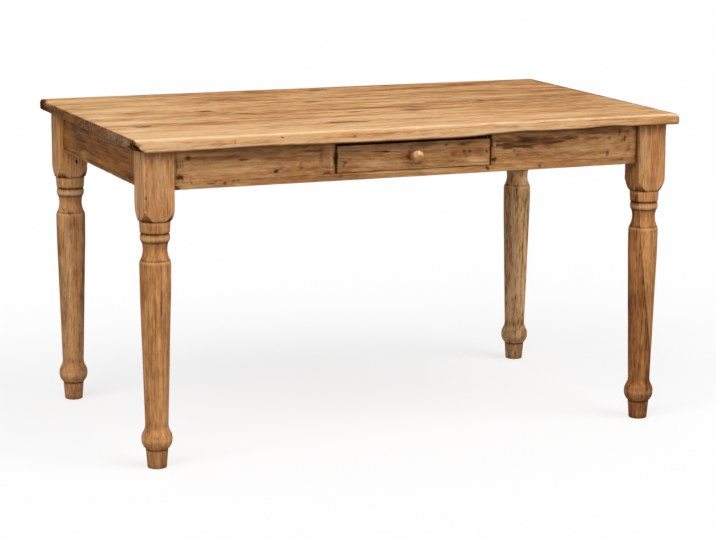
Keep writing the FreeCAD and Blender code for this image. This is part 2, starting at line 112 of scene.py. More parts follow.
class Graph:
    def __init__(self, tree):
        self.tree = tree

    def node(self, kind, settings=None, sockets=None, output=0):
        made = self.tree.nodes.new("ShaderNode" + kind)
        for key, value in (settings or {}).items():
            if key == "stops":
                self.fillRamp(made.color_ramp, value)
            else:
                setattr(made, key, value)
        for key, value in (sockets or {}).items():
            self.join(value, made.inputs[key])
        return Wire(self, made.outputs[output])

    def join(self, value, socket):
        if isinstance(value, Wire):
            self.tree.links.new(value.socket, socket)
        else:
            socket.default_value = value

    def fillRamp(self, ramp, stops):
        while len(ramp.elements) < len(stops):
            ramp.elements.new(1.0)
        for element, (position, colour) in zip(ramp.elements, stops):
            element.position = position
            element.color = (*colour, 1.0)

    def math(self, operation, first, second=0.0):
        return self.node("Math", {"operation": operation}, {0: first, 1: second})

    def vector(self, operation, first, second=(0.0, 0.0, 0.0)):
        output = "Value" if operation == "LENGTH" else "Vector"
        return self.node("VectorMath", {"operation": operation}, {0: first, 1: second}, output)

    def mixColour(self, share, first, second):
        ends = [end if isinstance(end, Wire) else (*end, 1.0) for end in (first, second)]
        settings = {"data_type": "RGBA", "clamp_factor": True}
        return self.node("Mix", settings, {0: share, 6: ends[0], 7: ends[1]}, 2)

    def noise(self, place, along, across, detail, output=0):
        # along and across count the features to the metre
        scaled = self.vector("MULTIPLY", place, (along, across, across))
        sockets = {"Vector": scaled, "Scale": 1.0, "Detail": detail, "Roughness": 0.6}
        return self.node("TexNoise", {}, sockets, output)

    def swing(self, noise, reach):
        # a colour noise as a vector from -reach / 2 to reach / 2
        return self.vector("MULTIPLY", self.vector("SUBTRACT", noise, (0.5, 0.5, 0.5)), reach)

    def spot(self, place, centre, reach, ragged=None):
        # distance from a point counted in reaches, so 1 is the skin of an ellipsoid
        away = self.vector("DIVIDE", self.vector("SUBTRACT", place, centre), reach)
        return self.vector("LENGTH", self.vector("ADD", away, ragged) if ragged else away)

    def attribute(self, name):
        return self.node("Attribute", {"attribute_name": name}, output="Fac")


def newMaterial(name):
    material = bpy.data.materials.new(name)
    material.use_nodes = True
    return material, Graph(material.node_tree)


# Pine: a log of rings round a heart beside the piece, with streaks, fibres, knots and stains
pineTones = {
    # pale, middle, brown and deep brown
    "top": ((0.78, 0.478, 0.244), (0.59, 0.300, 0.122), (0.385, 0.165, 0.058), (0.15, 0.056, 0.020)),
    "leg": ((0.63, 0.325, 0.130), (0.47, 0.207, 0.072), (0.29, 0.110, 0.034), (0.10, 0.036, 0.012)),
    "apron": ((0.58, 0.308, 0.122), (0.42, 0.193, 0.067), (0.245, 0.098, 0.031), (0.08, 0.031, 0.010)),
    "weathered": ((0.72, 0.450, 0.220), (0.51, 0.270, 0.108), (0.27, 0.120, 0.044), (0.08, 0.032, 0.012)),
    "end": ((0.44, 0.195, 0.046), (0.345, 0.141, 0.030), (0.20, 0.076, 0.0155), (0.068, 0.025, 0.0055)),
    "inner": ((0.72, 0.50, 0.27), (0.60, 0.37, 0.17), (0.43, 0.23, 0.095), (0.19, 0.09, 0.04)),
    "knob": ((0.74, 0.44, 0.21), (0.60, 0.31, 0.13), (0.42, 0.19, 0.07), (0.20, 0.085, 0.035)),
}
toneStops = (0.0, 0.36, 0.72, 1.0)
stainTones = {
    "brown": (0.15, 0.058, 0.021),
    "red": (0.40, 0.145, 0.046),
    "grey": (0.20, 0.130, 0.085),
    "pale": (0.84, 0.57, 0.29),
    "cream": (0.90, 0.66, 0.385),
    "amber": (0.58, 0.270, 0.078),
    "ash": (0.66, 0.47, 0.315),
    "umber": (0.075, 0.028, 0.007),
    "dark": (0.036, 0.012, 0.004),
}
endTones = ((0.290, 0.134, 0.060), (0.095, 0.039, 0.017))
grainNoise = {
    # features to the metre along and across the grain, and levels of detail
    "wander": (1.6, 5.0, 1.5),
    "streak": (4.0, 85.0, 6.0),
    "mottle": (18.0, 60.0, 7.0),
    "grit": (45.0, 230.0, 5.0),
    "fibre": (9.0, 420.0, 2.0),
    "cloud": (2.4, 8.0, 2.0),
    "greyed": (3.5, 26.0, 4.0),
    "warm": (13.0, 55.0, 3.0),
    "cool": (11.0, 70.0, 3.0),
    "pores": (60.0, 95.0, 4.0),
    "ragged": (26.0, 110.0, 4.0),
    "broken": (7.0, 150.0, 5.0),
    "specks": (60.0, 150.0, 4.0),
}
grainContrast = {
    # where each noise goes from its light to its dark side
    "streak": (0.36, 0.64),
    "mottle": (0.36, 0.64),
    "grit": (0.38, 0.62),
    "fibre": (0.25, 0.75),
    "cloud": (0.28, 0.72),
}
pineBase = {
    "tones": "top",
    "order": "XYZ",               # the first letter runs along the grain
    "centre": (0.0, 0.0, 0.0),    # metres
    "seed": 1,
    "pith": (0.02, -0.09),        # heart of the log, from the centre
    "lean": (0.03, 0.02),         # how the heart moves aside along the grain
    "ring": 0.0048,
    "heart": 0.0,                 # radius of the redder heartwood
    "tone": 0.0,                  # darker above 0
    "late": 0.22,
    "streak": 0.50,
    "mottle": 0.22,
    "grit": 0.22,
    "fibre": 0.28,
    "cloud": 0.35,
    "wander": 0.030,              # how far the grain strays sideways
    "specks": 0.15,
    "grey": 0.0,
    "blush": 0.0,
    "knots": (),                  # (x, y, z, size, strength), millimetres
    "stains": {},                 # by colour: (x, y, z, reach along x, y, z, strength, softness)
    "broken": 0.85,               # how far the grain breaks the stains up
    "worn": False,                # the piece carries wear with painted highlight, and dirt with painted shade
    "wearAndHighlightTone": "pale",
    "rim": None,                  # half sizes in x and z, and depth of the dirt and painted shade at the sides and at the top
    "rough": 0.60,
    "gloss": 0.05,
}
knotSet = {
    "length": 1.7,                # along the grain, in sizes
    "swing": 0.9,                 # how far the grain swings round it, in sizes
    "swingReach": 4.0,
    "core": (1.15, 0.35),         # where its core starts and is full
}
faceDepth = 3.0                   # how far marks on a face reach into it, millimetres


def knotFields(g, wood, place):
    # push of the grain round the knots, and their cores
    push, core = 0.0, 0.0
    for x, y, z, size, strength in wood["knots"]:
        reach = [size * mm] * 3
        reach["XYZ".index(wood["order"][0])] = size * mm * knotSet["length"]
        away = g.spot(place, (x * mm, y * mm, z * mm), tuple(reach))
        push = away.eased(knotSet["swingReach"], 0.0) * (size * mm * knotSet["swing"]) + push
        core = away.eased(*knotSet["core"]) * strength + core
    return push, core


def stained(g, wood, colour, place, ragged, broken, knotCore):
    # stains with ragged edges, broken up along the grain, and how dark they are
    darkness = knotCore
    for tint, tintColour in stainTones.items():
        cover = knotCore * 0.75 if tint == "brown" and wood["knots"] else None
        for *spot, strength, softness in wood["stains"].get(tint, ()):
            centre, reach = (tuple(value * mm for value in half) for half in (spot[:3], spot[3:]))
            mask = g.spot(place, centre, reach, ragged).eased(1.4, 1.0 - softness) * strength
            cover = mask if cover is None else cover + mask
        if cover is not None:
            colour = g.mixColour(cover * broken, colour, tintColour)
            darkness = cover * 0.5 + darkness if tint == "dark" else darkness
    return colour, darkness


def pine(name, wood):
    wood = {**pineBase, **wood}
    material, g = newMaterial(name)
    rng = np.random.default_rng(wood["seed"])
    shift = tuple(rng.uniform(-40, 40, 3))
    place = g.node("TexCoord", output="Object")
    own = g.node("SeparateXYZ", {}, {0: g.vector("SUBTRACT", place, wood["centre"])})
    grain = g.node("CombineXYZ", {}, {index: own.other(axis) for index, axis in enumerate(wood["order"])})

    # slow wander of the grain, and its swing round each knot
    seeded = g.vector("ADD", grain, shift)
    wander = g.noise(seeded, *grainNoise["wander"], "Color")
    wander = g.swing(wander, (0.0, wood["wander"], wood["wander"]))
    push, knotCore = knotFields(g, wood, place)
    bent = g.vector("ADD", g.vector("ADD", grain, wander), g.node("CombineXYZ", {}, {1: push, 2: push}))
    bentSeeded = g.vector("ADD", bent, shift)

    # rings: distance from a leaning heart, pale early wood closing on a dark late line
    parts = g.node("SeparateXYZ", {}, {0: bent})
    across = parts.other("Y") - wood["pith"][0] + parts * wood["lean"][0]
    deep = parts.other("Z") - wood["pith"][1] + parts * wood["lean"][1]
    fromHeart = g.math("SQRT", across * across + deep * deep) + push
    unevenSockets = {"W": fromHeart * 70.0, "Scale": 1.0, "Detail": 1.0}
    uneven = g.node("TexNoise", {"noise_dimensions": "1D"}, unevenSockets)
    saw = g.math("FRACT", fromHeart / wood["ring"] + uneven * 3.0)
    late = saw.eased(0.25, 0.90) - saw.eased(0.90, 1.0)

    # tone: each noise about its middle, in its own strength
    fields = {key: g.noise(bentSeeded, *grainNoise[key]) for key in ("streak", "mottle", "grit", "fibre")}
    fields["cloud"] = g.noise(seeded, *grainNoise["cloud"])
    streak, mottle, fibre, cloud = (fields[key] for key in ("streak", "mottle", "fibre", "cloud"))
    tone = late * wood["late"] * (cloud * 1.2 + 0.3)
    for key, field in fields.items():
        tone = tone + (field.eased(*grainContrast[key]) - 0.5) * wood[key]
    tone = tone + (0.30 + wood["tone"])
    if wood["heart"]:
        brink = g.math("ABSOLUTE", fromHeart - wood["heart"]).eased(0.0025, 0.0005)
        inHeart = fromHeart.eased(wood["heart"] + 0.0015, wood["heart"] - 0.001)
        tone = inHeart * 0.30 + brink * 0.25 + tone
    colour = g.node("ValToRGB", {"stops": list(zip(toneStops, pineTones[wood["tones"]]))}, {0: tone})

    # greyed, weathered fields, and a blush of red and grey
    if wood["grey"]:
        field = g.noise(seeded, *grainNoise["greyed"]).eased(0.42, 0.66)
        colour = g.mixColour(field * wood["grey"], colour, stainTones["grey"])
    if wood["blush"]:
        warm = g.noise(bentSeeded, *grainNoise["warm"]).eased(0.50, 0.68)
        cool = g.noise(bentSeeded, *grainNoise["cool"]).eased(0.48, 0.30)
        colour = g.mixColour(warm * wood["blush"], colour, stainTones["red"])
        colour = g.mixColour(cool * wood["blush"] * 0.8, colour, stainTones["grey"])

    # sawn ends are darker and porous
    if wood["worn"]:
        pores = g.noise(seeded, *grainNoise["pores"]).eased(0.34, 0.62)
        colour = g.mixColour(g.attribute("endGrain") * 0.92, colour, g.mixColour(pores, *endTones))

    # specks, stains and knots
    ragged = g.swing(g.noise(seeded, *grainNoise["ragged"], "Color"), (2.6, 2.6, 2.6))
    broken = g.noise(bentSeeded, *grainNoise["broken"]).eased(0.40, 0.58) * wood["broken"]
    broken = broken + (1.1 - 0.88 * wood["broken"])
    specks = g.noise(bentSeeded, *grainNoise["specks"]).eased(0.60, 0.68)
    colour = g.mixColour(specks * wood["specks"], colour, stainTones["brown"])
    colour, darkness = stained(g, wood, colour, place, ragged, broken, knotCore)
    if wood["knots"]:
        colour = g.mixColour(knotCore * (late * 0.4 + 0.25), colour, stainTones["umber"])

    # wear with painted highlight, dirt with painted shade, dirt and painted shade in the rim, and the height
    # of the grain
    rough = fibre * 0.16 + (wood["rough"] - 0.06)
    height = fibre * 0.5 + streak * 0.35 - late * 0.25 - darkness * 0.8
    if wood["worn"]:
        worn = g.attribute("worn") * (streak * 0.7 + 0.55)
        grime = g.attribute("grime") * (cloud * 0.6 + 0.65)
        # wear and painted highlight lighten the colour
        colour = g.mixColour(worn * 0.75, colour, stainTones[wood["wearAndHighlightTone"]])
        # dirt and painted shade darken the colour
        colour = g.mixColour(grime * 0.92, colour, stainTones["dark"])
        rough = rough + grime * 0.25 - worn * 0.08
    # dirt and painted shade round the rim of the drawer front
    if wood["rim"]:
        halfX, halfZ, sideDepth, topDepth = wood["rim"]
        outX = (g.math("ABSOLUTE", own.other("X")) - halfX) / sideDepth
        outZ = (own.other("Z") - halfZ) / topDepth
        dirtAndShade = g.math("MAXIMUM", outX, outZ).eased(-1.0, 0.0)
        colour = g.mixColour(dirtAndShade * (mottle * 0.8 + 0.45), colour, stainTones["dark"])
    bump = g.node("Bump", {}, {"Strength": 0.35, "Distance": 0.0009, "Height": height})
    shader = g.tree.nodes["Principled BSDF"]
    shader.inputs["Specular IOR Level"].default_value = wood["gloss"]
    g.join(colour, shader.inputs["Base Color"])
    g.join(rough, shader.inputs["Roughness"])
    g.join(bump, shader.inputs["Normal"])
    return material


def faceMarks(axis, level, marks):
    # marks on a flat face square to an axis, (place, reach, strength, softness), as stains
    at = "XYZ".index(axis)
    return {tint: tuple((*spot[:at], level, *spot[at:2 + at], faceDepth, *spot[2 + at:]) for spot in spots)
            for tint, spots in marks.items()}


def joined(*groups):
    # stains of several groups, colour by colour
    return {tint: sum((tuple(group.get(tint, ())) for group in groups), ()) for tint in stainTones}


# Mesh tools
sharpAngle = math.radians(38)


def ripple(seed, lengths, *places):
    # soft field from 0 to 1: mean of seven sines of random slant, one wave length per place
    rng = np.random.default_rng(seed)
    slants = rng.normal(size=(7, len(places))) * (2 * math.pi / np.array(lengths))
    phases = rng.uniform(0, 2 * math.pi, 7)
    angle = sum(place[..., None] * slants[:, index] for index, place in enumerate(places))
    return 0.5 + 0.5 * np.clip(1.6 * np.sin(angle + phases).mean(-1), -1, 1)


def chips(seed, place, count, reach):
    # small bites along an edge: the deepest of count bells at random spots, 0 to 1
    rng = np.random.default_rng(seed)
    spots = rng.uniform(place.min(), place.max(), count)
    depth = rng.uniform(0.3, 1.0, count)
    wide = rng.uniform(0.4, 1.0, count) * reach
    return (depth * np.exp(-((place[..., None] - spots) / wide) ** 2)).max(-1)


def roundedLoop(low, high, radii, arcSteps, sideSteps):
    # rounded rectangle at every station: quarter arcs at four corners, sides closer spaced near them
    signs = np.array([(-1, -1), (1, -1), (1, 1), (-1, 1)])
    corners = np.where(signs < 0, low[:, None], high[:, None])
    centres = corners - signs * radii[..., None]
    turn = math.pi + np.arange(4)[:, None] * math.pi / 2 + np.linspace(0, math.pi / 2, arcSteps)
    arcs = centres[:, :, None] + radii[:, :, None, None] * np.stack([np.cos(turn), np.sin(turn)], -1)
    share = (1 - np.cos(math.pi * np.arange(1, sideSteps + 1) / (sideSteps + 1))) / 2
    start = arcs[:, :, -1:]
    side = start + (np.roll(arcs[:, :, :1], -1, axis=1) - start) * share[:, None]
    return np.concatenate([arcs, side], axis=2).reshape(len(low), -1, 2)


def closedFaces(rows, columns):
    # quads between the rings, and each end ring filled by strips from side to side
    row, column = np.meshgrid(np.arange(rows - 1), np.arange(columns), indexing="ij")
    after = (column + 1) % columns
    rings = np.stack([row * columns + column, row * columns + after,
                      (row + 1) * columns + after, (row + 1) * columns + column], -1).reshape(-1, 4)
    left = np.arange(columns // 2 - 1)
    strip = np.stack([left, columns - 1 - left, columns - 2 - left, left + 1], -1)
    return np.concatenate([rings, strip, strip[:, ::-1] + (rows - 1) * columns])


def addPiece(node, points, fields, material, body="table"):
    # points is a closed grid, rows by columns by 3; fields are per-vertex values of the same grid
    rows, columns = points.shape[:2]
    faces = closedFaces(rows, columns)
    flat = points.reshape(-1, 3)
    first, second, third, fourth = (flat[faces[:, corner]] for corner in range(4))
    bulk = (np.cross(first, second) * third).sum() + (np.cross(first, third) * fourth).sum()
    if bulk < 0:
        faces = faces[:, ::-1]
    mesh = bpy.data.meshes.new(node + ".wood")
    mesh.vertices.add(len(flat))
    mesh.vertices.foreach_set("co", flat.astype(np.float32).ravel())
    mesh.loops.add(faces.size)
    mesh.loops.foreach_set("vertex_index", np.ascontiguousarray(faces, dtype=np.int32).ravel())
    mesh.polygons.add(len(faces))
    mesh.polygons.foreach_set("loop_start", np.arange(0, faces.size, 4, dtype=np.int32))
    mesh.update(calc_edges=True)
    mesh.validate()
    for field, values in fields.items():
        layer = mesh.attributes.new(field, "FLOAT", "POINT")
        layer.data.foreach_set("value", np.clip(values, 0, 1).astype(np.float32).ravel())
    mesh.polygons.foreach_set("use_smooth", np.ones(len(faces), bool))
    mesh.set_sharp_from_angle(angle=sharpAngle)
    mesh.materials.append(material)
    piece = bpy.data.objects.new(node + ".wood", mesh)
    bpy.context.scene.collection.objects.link(piece)
    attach(piece, body)
    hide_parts(node)
    return piece


# Planks: a rounded section carried along the grain, with round ends or tenons
plankBase = {
    "along": 0,                       # 0 runs along X, 1 along Y
    "radii": (0.6, 0.6, 0.6, 0.6),    # low-low, high-low, high-high, low-high, millimetres
    "arcSteps": 6,
    "sideSteps": 14,
    "step": 9.0,
    "endRound": (0.0, 0.0, 0.0),      # upper at the low end, upper at the high end, lower
    "planRound": (0.0, 0.0),          # low and high side
    "tenons": (0.0, 0.0),
    "tenonSide": (6.0, 6.0),          # cheeks, low and high side
    "tenonShoulder": (12.0, 12.0),    # below and above
    "tenonRound": 0.4,
    "hollow": 0.45,                   # how far the wide faces dip
    "hollowWave": (240.0, 70.0),
    "wave": (0.0, 0.0),               # how far the narrow sides wander, low and high side
    "waveLength": 260.0,
    "lip": None,                      # how far the low side's lower edge hangs, along the plank
    "lipReach": 20.0,
    "lipGrime": None,                 # painted shade on that edge, along the plank
    "lipShadeHeight": 6.5,
    "under": None,                    # how far the lower face is planed up, along the plank
    "broken": None,                   # lower corner broken away at the low end and low side
    "edgeWear": (0.0, 0.0, 0.0, 0.0),
    # dirt in seams and joints, and painted shade on edges in the shade of the top
    "edgeDirtAndShade": (0.0, 0.0, 0.0, 0.0),
    "besideEdge": 0.45,               # share of both that the column beside an edge gets
    "ragWave": (90.0, 200.0),
    "chip": 1.2,
    "chips": (14, 16.0),              # count and reach along each long edge
    "endNibble": 0.0,                 # how far the ends are bitten back
    "nibbleReach": 7.0,
    "nibbleWave": (38.0, 30.0),
    "nibbleWaveShare": 0.35,
    "nibbleChips": (4, 13.0),
    "sawn": (0.8, 1.8),               # where sawn ends start below the upper face, and their fade
    "endGrainDepth": 5.0,
    "endDirtAndShade": (0.0, 0.0),           # dirt and painted shade where the ends meet their neighbours
    "endDirtAndShadeReach": 6.0,
    "topShade": 0.0,                  # painted shade under the top
    "topShadeHeight": 11.0,
    "seed": 1,
}


def roundInset(radius, distance):
    # drop of a quarter round at a distance from its edge
    if radius == 0:
        return np.zeros_like(distance)
    inside = radius - np.minimum(distance, radius)
    return radius - np.sqrt(radius ** 2 - inside ** 2)


def stations(start, end, depth, step):
    # places along a plank, close together at its ends
    rounded = depth * (1 - np.cos(np.linspace(0, math.pi / 2, 9)))
    near = rounded if depth else np.array([0.0, 1.5, 3.0, 5.0, 7.5])
    inner = near[-1]
    middle = np.linspace(start + inner, end - inner, max(3, round((end - start - 2 * inner) / step)))
    return np.concatenate([start + near[:-1], middle, end - near[-2::-1]])


def plankRows(look, low, high, start, end, depth):
    # places along the plank, both corners of its section there and the radii of its four edges
    across = 1 - look["along"]
    seed = look["seed"]
    s = stations(start, end, depth, look["step"])
    fromEnd = np.minimum(s - start, end - s)
    upperLow, upperHigh, lower = look["endRound"]
    upperDrop = roundInset(upperLow, s - start) + roundInset(upperHigh, end - s)
    sides = [roundInset(look["planRound"][side], fromEnd)
             + look["wave"][side] * ripple(seed + 1 + side, (look["waveLength"],), s) for side in (0, 1)]
    planed = look["under"](s - start) if look["under"] else 0.0
    lowSection = np.stack([low[across] + sides[0], low[2] + planed + roundInset(lower, fromEnd)], -1)
    highSection = np.stack([high[across] - sides[1], high[2] - upperDrop], -1)
    radii = np.broadcast_to(np.array(look["radii"], float), (len(s), 4))
    bites = np.stack([chips(seed + 10 + corner, s, *look["chips"]) for corner in range(4)], -1)
    radii = radii + look["chip"] * bites * np.minimum(radii, 2.0)
    cheeks, shoulders = look["tenonSide"], look["tenonShoulder"]
    tenonLow = np.array([low[across] + cheeks[0], low[2] + shoulders[0]])
    tenonHigh = np.array([high[across] - cheeks[1], high[2] - shoulders[1]])
    rows = [s, lowSection, highSection, radii]
    for atStart, length in zip((True, False), look["tenons"]):
        if length:
            tips = (start - length, start) if atStart else (end, end + length)
            extras = [tips, [tenonLow] * 2, [tenonHigh] * 2, np.full((2, 4), look["tenonRound"])]
            pairs = zip(extras, rows) if atStart else zip(rows, extras)
            rows = [np.concatenate(pair) for pair in pairs]
    return rows


def alongEdges(look, values):
    # value of each long edge on its arc, and a share of it on the columns beside the arc
    arcSteps = look["arcSteps"]
    onArc = np.zeros((4, arcSteps + look["sideSteps"]))
    before = np.zeros_like(onArc)
    onArc[:, :arcSteps] = 1.0
    onArc[:, arcSteps] = look["besideEdge"]
    before[:, -1] = look["besideEdge"]
    edge = np.array(values)[:, None]
    return (onArc * edge + before * np.roll(edge, -1, axis=0)).reshape(-1)


def plank(node, look, material):
    look = {**plankBase, **look}
    low, high = (np.array(corner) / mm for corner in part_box(node))
    along, seed = look["along"], look["seed"]
    across = 1 - along
    start, end = low[along] + look["tenons"][0], high[along] - look["tenons"][1]
    depth = max(*look["endRound"], *look["planRound"])
    s, lowSection, highSection, radii = plankRows(look, low, high, start, end, depth)
    loop = roundedLoop(lowSection, highSection, radii, look["arcSteps"], look["sideSteps"])
    side = loop[..., 0]
    place = np.broadcast_to(s[:, None], side.shape)
    fromTip = np.minimum(s - s.min(), s.max() - s)

    # the wide faces dip, the lip hangs and a corner is broken away
    middle = (low[2] + high[2]) / 2
    dip = look["hollow"] / (high[2] - low[2]) * 2 * ripple(seed, look["hollowWave"], place, side)
    up = middle + (loop[..., 1] - middle) * (1 - dip)
    sawnFrom, sawnFade = look["sawn"]
    sawn = np.clip((high[2] - sawnFrom - up) / sawnFade, 0, 1)
    fromSide = side - low[across]
    onLip = 0.0
    if look["lip"]:
        share = np.clip((middle - up) / (middle - low[2]), 0, 1)
        nearFront = np.exp(-(fromSide / look["lipReach"]) ** 2)
        hang = look["lip"](place)
        up = up - hang * share * nearFront
        # painted shade on the lower part of the lip
        lower = np.clip(1 - (up - low[2] + hang) / look["lipShadeHeight"], 0, 1)
        onLip = look["lipGrime"](place) * lower * nearFront
    if look["broken"]:
        up = np.maximum(up, low[2] + look["broken"](place - start, fromSide))
    points = np.empty((*side.shape, 3))
    points[..., along] = place
    points[..., across] = side
    points[..., 2] = up
    if look["endNibble"]:
        bitten = look["nibbleWaveShare"] * ripple(seed + 7, look["nibbleWave"], side, up)
        bitten = bitten + chips(seed + 8, side, *look["nibbleChips"])
        inward = np.where(place < (start + end) / 2, 1.0, -1.0)
        nearness = np.exp(-fromTip / look["nibbleReach"])[:, None]
        points[..., along] += look["endNibble"] * bitten * inward * nearness

    # wear on the edges, dirt and painted shade at the edges and joints, painted shade under the top, and
    # sawn ends
    rag = 0.35 + 0.65 * ripple(seed + 5, look["ragWave"], place, side)
    endGrain = np.clip(1 - fromTip / look["endGrainDepth"], 0, 1)[:, None] * sawn * (depth > 0)
    reach = look["endDirtAndShadeReach"]
    fromEnds = np.stack([place - start, end - place])
    atEnds = (np.array(look["endDirtAndShade"])[:, None, None] * np.exp(-(fromEnds / reach) ** 2)).sum(0)
    # painted shade on the upper part of the face, under the top
    shadeUnderTop = look["topShade"] * np.clip(1 - (high[2] - up) / look["topShadeHeight"], 0, 1)
    dirtAndShade = alongEdges(look, look["edgeDirtAndShade"]) + atEnds + shadeUnderTop
    fields = {
        "worn": alongEdges(look, look["edgeWear"]) * rag * (1 - endGrain),
        "grime": dirtAndShade * (1.2 - 0.6 * rag) + onLip,
        "endGrain": endGrain,
    }
    return addPiece(node, points * mm, fields, material)


# Top: seven boards, dressed by years of use
topSet = {
    "boards": 7,
    "upperRound": 4.5,
    "lowerRound": 2.5,
    "seamRound": 0.5,
    # of each board, from the front: upper round of its left and right end, and lower round of both
    "leftRound": (3.0, 3.0, 3.0, 3.0, 3.5, 5.0, 8.0),
    "rightRound": (11.0, 8.5, 6.5, 5.0, 4.0, 4.0, 4.0),
    "underRound": (6.0, 6.0, 6.0, 6.0, 6.0, 7.0, 9.0),
    "cornerRound": (3.5, 8.0),    # front and back
    "look": {"chip": 0.8, "endNibble": 0.7, "step": 6.0},
    "wood": {"tones": "top", "worn": True, "wearAndHighlightTone": "cream", "rough": 0.56, "gloss": 0.0},
    # paler to the front, darker to the back: partly the boards' own tone, partly painted light falling off
    # to the back
    "tones": (-0.26, -0.13, -0.06, -0.02, 0.0, 0.05, 0.13),
    "hearts": ((0.030, -0.11), (-0.02, -0.07), (0.04, -0.13), (-0.01, -0.09), (0.02, -0.06), (-0.04, -0.12),
               (0.01, -0.08)),
    # x, y, size and strength
    "knots": {
        2: ((-602, -195, 11, 1.1), (-128, -271, 9, 0.8)),
        3: ((-45, -105, 8, 0.8),),
        4: ((-375, 23, 10, 1.0), (-300, -40, 11, 0.8), (345, 0, 8, 0.9)),
        5: ((-65, 116, 9, 0.8),),
        6: ((45, 178, 8, 0.7),),
        7: ((32, 342, 12, 1.1),),
    },
    # the broad pale marks on the left and brown marks on the right are partly painted light falling off to
    # the right
    # on the upper face, by colour: x, y, reach along x and y, strength, softness
    "marks": {
        1: {
            "pale": ((-430, -345, 420, 60, 0.4, 0.9),),
            "brown": ((560, -365, 160, 40, 0.22, 0.9),),
        },
        2: {
            "brown": ((-138, -273, 66, 11, 1.5, 0.8), (-20, -264, 120, 8, 0.5, 0.9),
                      (-600, -197, 34, 15, 1.1, 0.9), (540, -220, 180, 50, 0.12, 0.9)),
            "umber": ((-112, -272, 34, 6, 0.7, 0.9),),
            "pale": ((-480, -240, 200, 40, 0.35, 0.9),),
            "cream": ((-630, -235, 70, 45, 0.6, 0.9),),
        },
        3: {
            "brown": ((132, -62, 44, 20, 0.75, 0.9), (108, -116, 34, 18, 0.8, 0.9),
                      (90, -150, 22, 12, 0.75, 0.9), (-265, -148, 22, 9, 0.7, 0.9),
                      (-45, -106, 32, 11, 0.9, 0.9), (440, -110, 330, 70, 0.24, 0.9)),
            "red": ((-400, -138, 90, 12, 0.45, 0.9),),
            "pale": ((-560, -110, 170, 55, 0.5, 0.9),),
            "cream": ((-620, -110, 75, 45, 0.6, 0.9),),
        },
        4: {
            "brown": ((140, 3, 40, 10, 1.0, 0.8), (226, 11, 30, 9, 0.9, 0.8), (90, -38, 150, 14, 0.4, 0.9),
                      (-510, 10, 110, 16, 0.55, 0.9), (-308, -42, 48, 14, 0.9, 0.9),
                      (-375, 23, 30, 12, 0.9, 0.8), (460, 0, 190, 24, 0.35, 0.9),
                      (440, 0, 330, 80, 0.24, 0.9)),
            "umber": ((300, 11, 22, 7, 0.6, 0.8), (345, 0, 18, 7, 0.6, 0.8)),
            "pale": ((-580, -20, 150, 45, 0.4, 0.9),),
            "cream": ((-630, -5, 65, 45, 0.5, 0.9),),
        },
        5: {
            "brown": ((120, 112, 100, 13, 0.6, 0.9), (-66, 116, 24, 12, 0.9, 0.8),
                      (-590, 135, 100, 7, 0.35, 0.9), (440, 115, 330, 70, 0.24, 0.9)),
            "pale": ((200, 68, 420, 14, 0.4, 0.9), (-540, 115, 240, 70, 0.45, 0.9)),
            "cream": ((-605, 95, 95, 34, 0.6, 0.8),),
        },
        6: {
            "brown": ((-305, 220, 80, 13, 0.55, 0.9), (385, 203, 115, 18, 0.5, 0.9),
                      (110, 215, 70, 11, 0.5, 0.9), (42, 176, 26, 10, 0.8, 0.9),
                      (470, 228, 280, 70, 0.16, 0.9), (-585, 222, 60, 6, 0.35, 0.9)),
            "pale": ((-560, 228, 280, 75, 0.55, 0.9),),
        },
        7: {
            "umber": ((32, 341, 20, 11, 0.9, 0.8),),
            "brown": ((560, 345, 260, 50, 0.3, 0.9), (-430, 372, 40, 9, 0.4, 0.9)),
            "pale": ((-560, 335, 280, 70, 0.55, 0.9),),
        },
    },
    # on the edges, by colour: place, reach, strength, softness
    "edgeStains": {
        1: {
            "amber": ((-190, -402, 748, 480, 9, 9, 0.28, 0.35), (560, -398, 746, 140, 10, 13, 0.12, 0.8),
                      (630, -400, 746, 80, 14, 14, 0.7, 0.8)),
            # at the broken front-left corner: dirt and painted shade
            "umber": ((-677, -378, 742, 18, 26, 13, 1.8, 0.4),),
            "ash": ((-686, -335, 750, 8, 42, 13, 0.28, 0.9),),
            "brown": ((-452, -400, 748, 2.5, 8, 6, 0.6, 0.6), (-164, -400, 745, 5, 8, 3.4, 0.9, 0.6),
                      (-340, -400, 752, 4, 8, 3, 0.8, 0.6), (205, -398, 752, 50, 10, 6, 0.4, 0.8),
                      # the brown mark at z 733 is painted shade on the lower round of the front edge
                      (648, -400, 744, 48, 14, 13, 0.75, 0.8), (-400, -398, 733, 190, 14, 2.4, 0.4, 0.5),
                      (686, -340, 746, 6, 60, 16, 0.5, 0.6)),
            # at the broken front-left corner: dirt and painted shade
            "dark": ((-682, -396, 745, 9, 14, 9, 1.4, 0.5), (-670, -396, 736, 9, 14, 5, 1.2, 0.5)),
            "red": ((684, -396, 750, 8, 10, 8, 0.6, 0.6),),
        },
        2: {
            "ash": ((-686, -235, 750, 8, 70, 13, 0.2, 0.9),),
            "grey": ((-686, -215, 744, 8, 30, 8, 0.4, 0.7),),
        },
        3: {
            "red": ((-686, -110, 750, 8, 40, 10, 0.4, 0.7),),
            "grey": ((-686, -160, 746, 8, 30, 8, 0.4, 0.7),),
        },
        4: {
            "grey": ((-686, 5, 746, 8, 36, 8, 0.5, 0.7),),
        },
        5: {
            "red": ((-686, 120, 748, 8, 44, 10, 0.6, 0.7),),
        },
        6: {
            "brown": ((-686, 220, 752, 8, 60, 8, 0.6, 0.7),),
        },
        7: {
            "umber": ((-687, 388, 753, 12, 46, 18, 1.8, 0.5),),
            "red": ((-687, 332, 750, 8, 22, 9, 0.9, 0.7),),
            "dark": ((-687, 352, 745, 9, 60, 7, 0.9, 0.6),),
        },
    },
    # painted shade on the right end's upper round, a brown line: from the end, reach along x and y,
    # strength, softness
    "rightLine": (1.0, 13, 80, 0.9, 0.7),
}
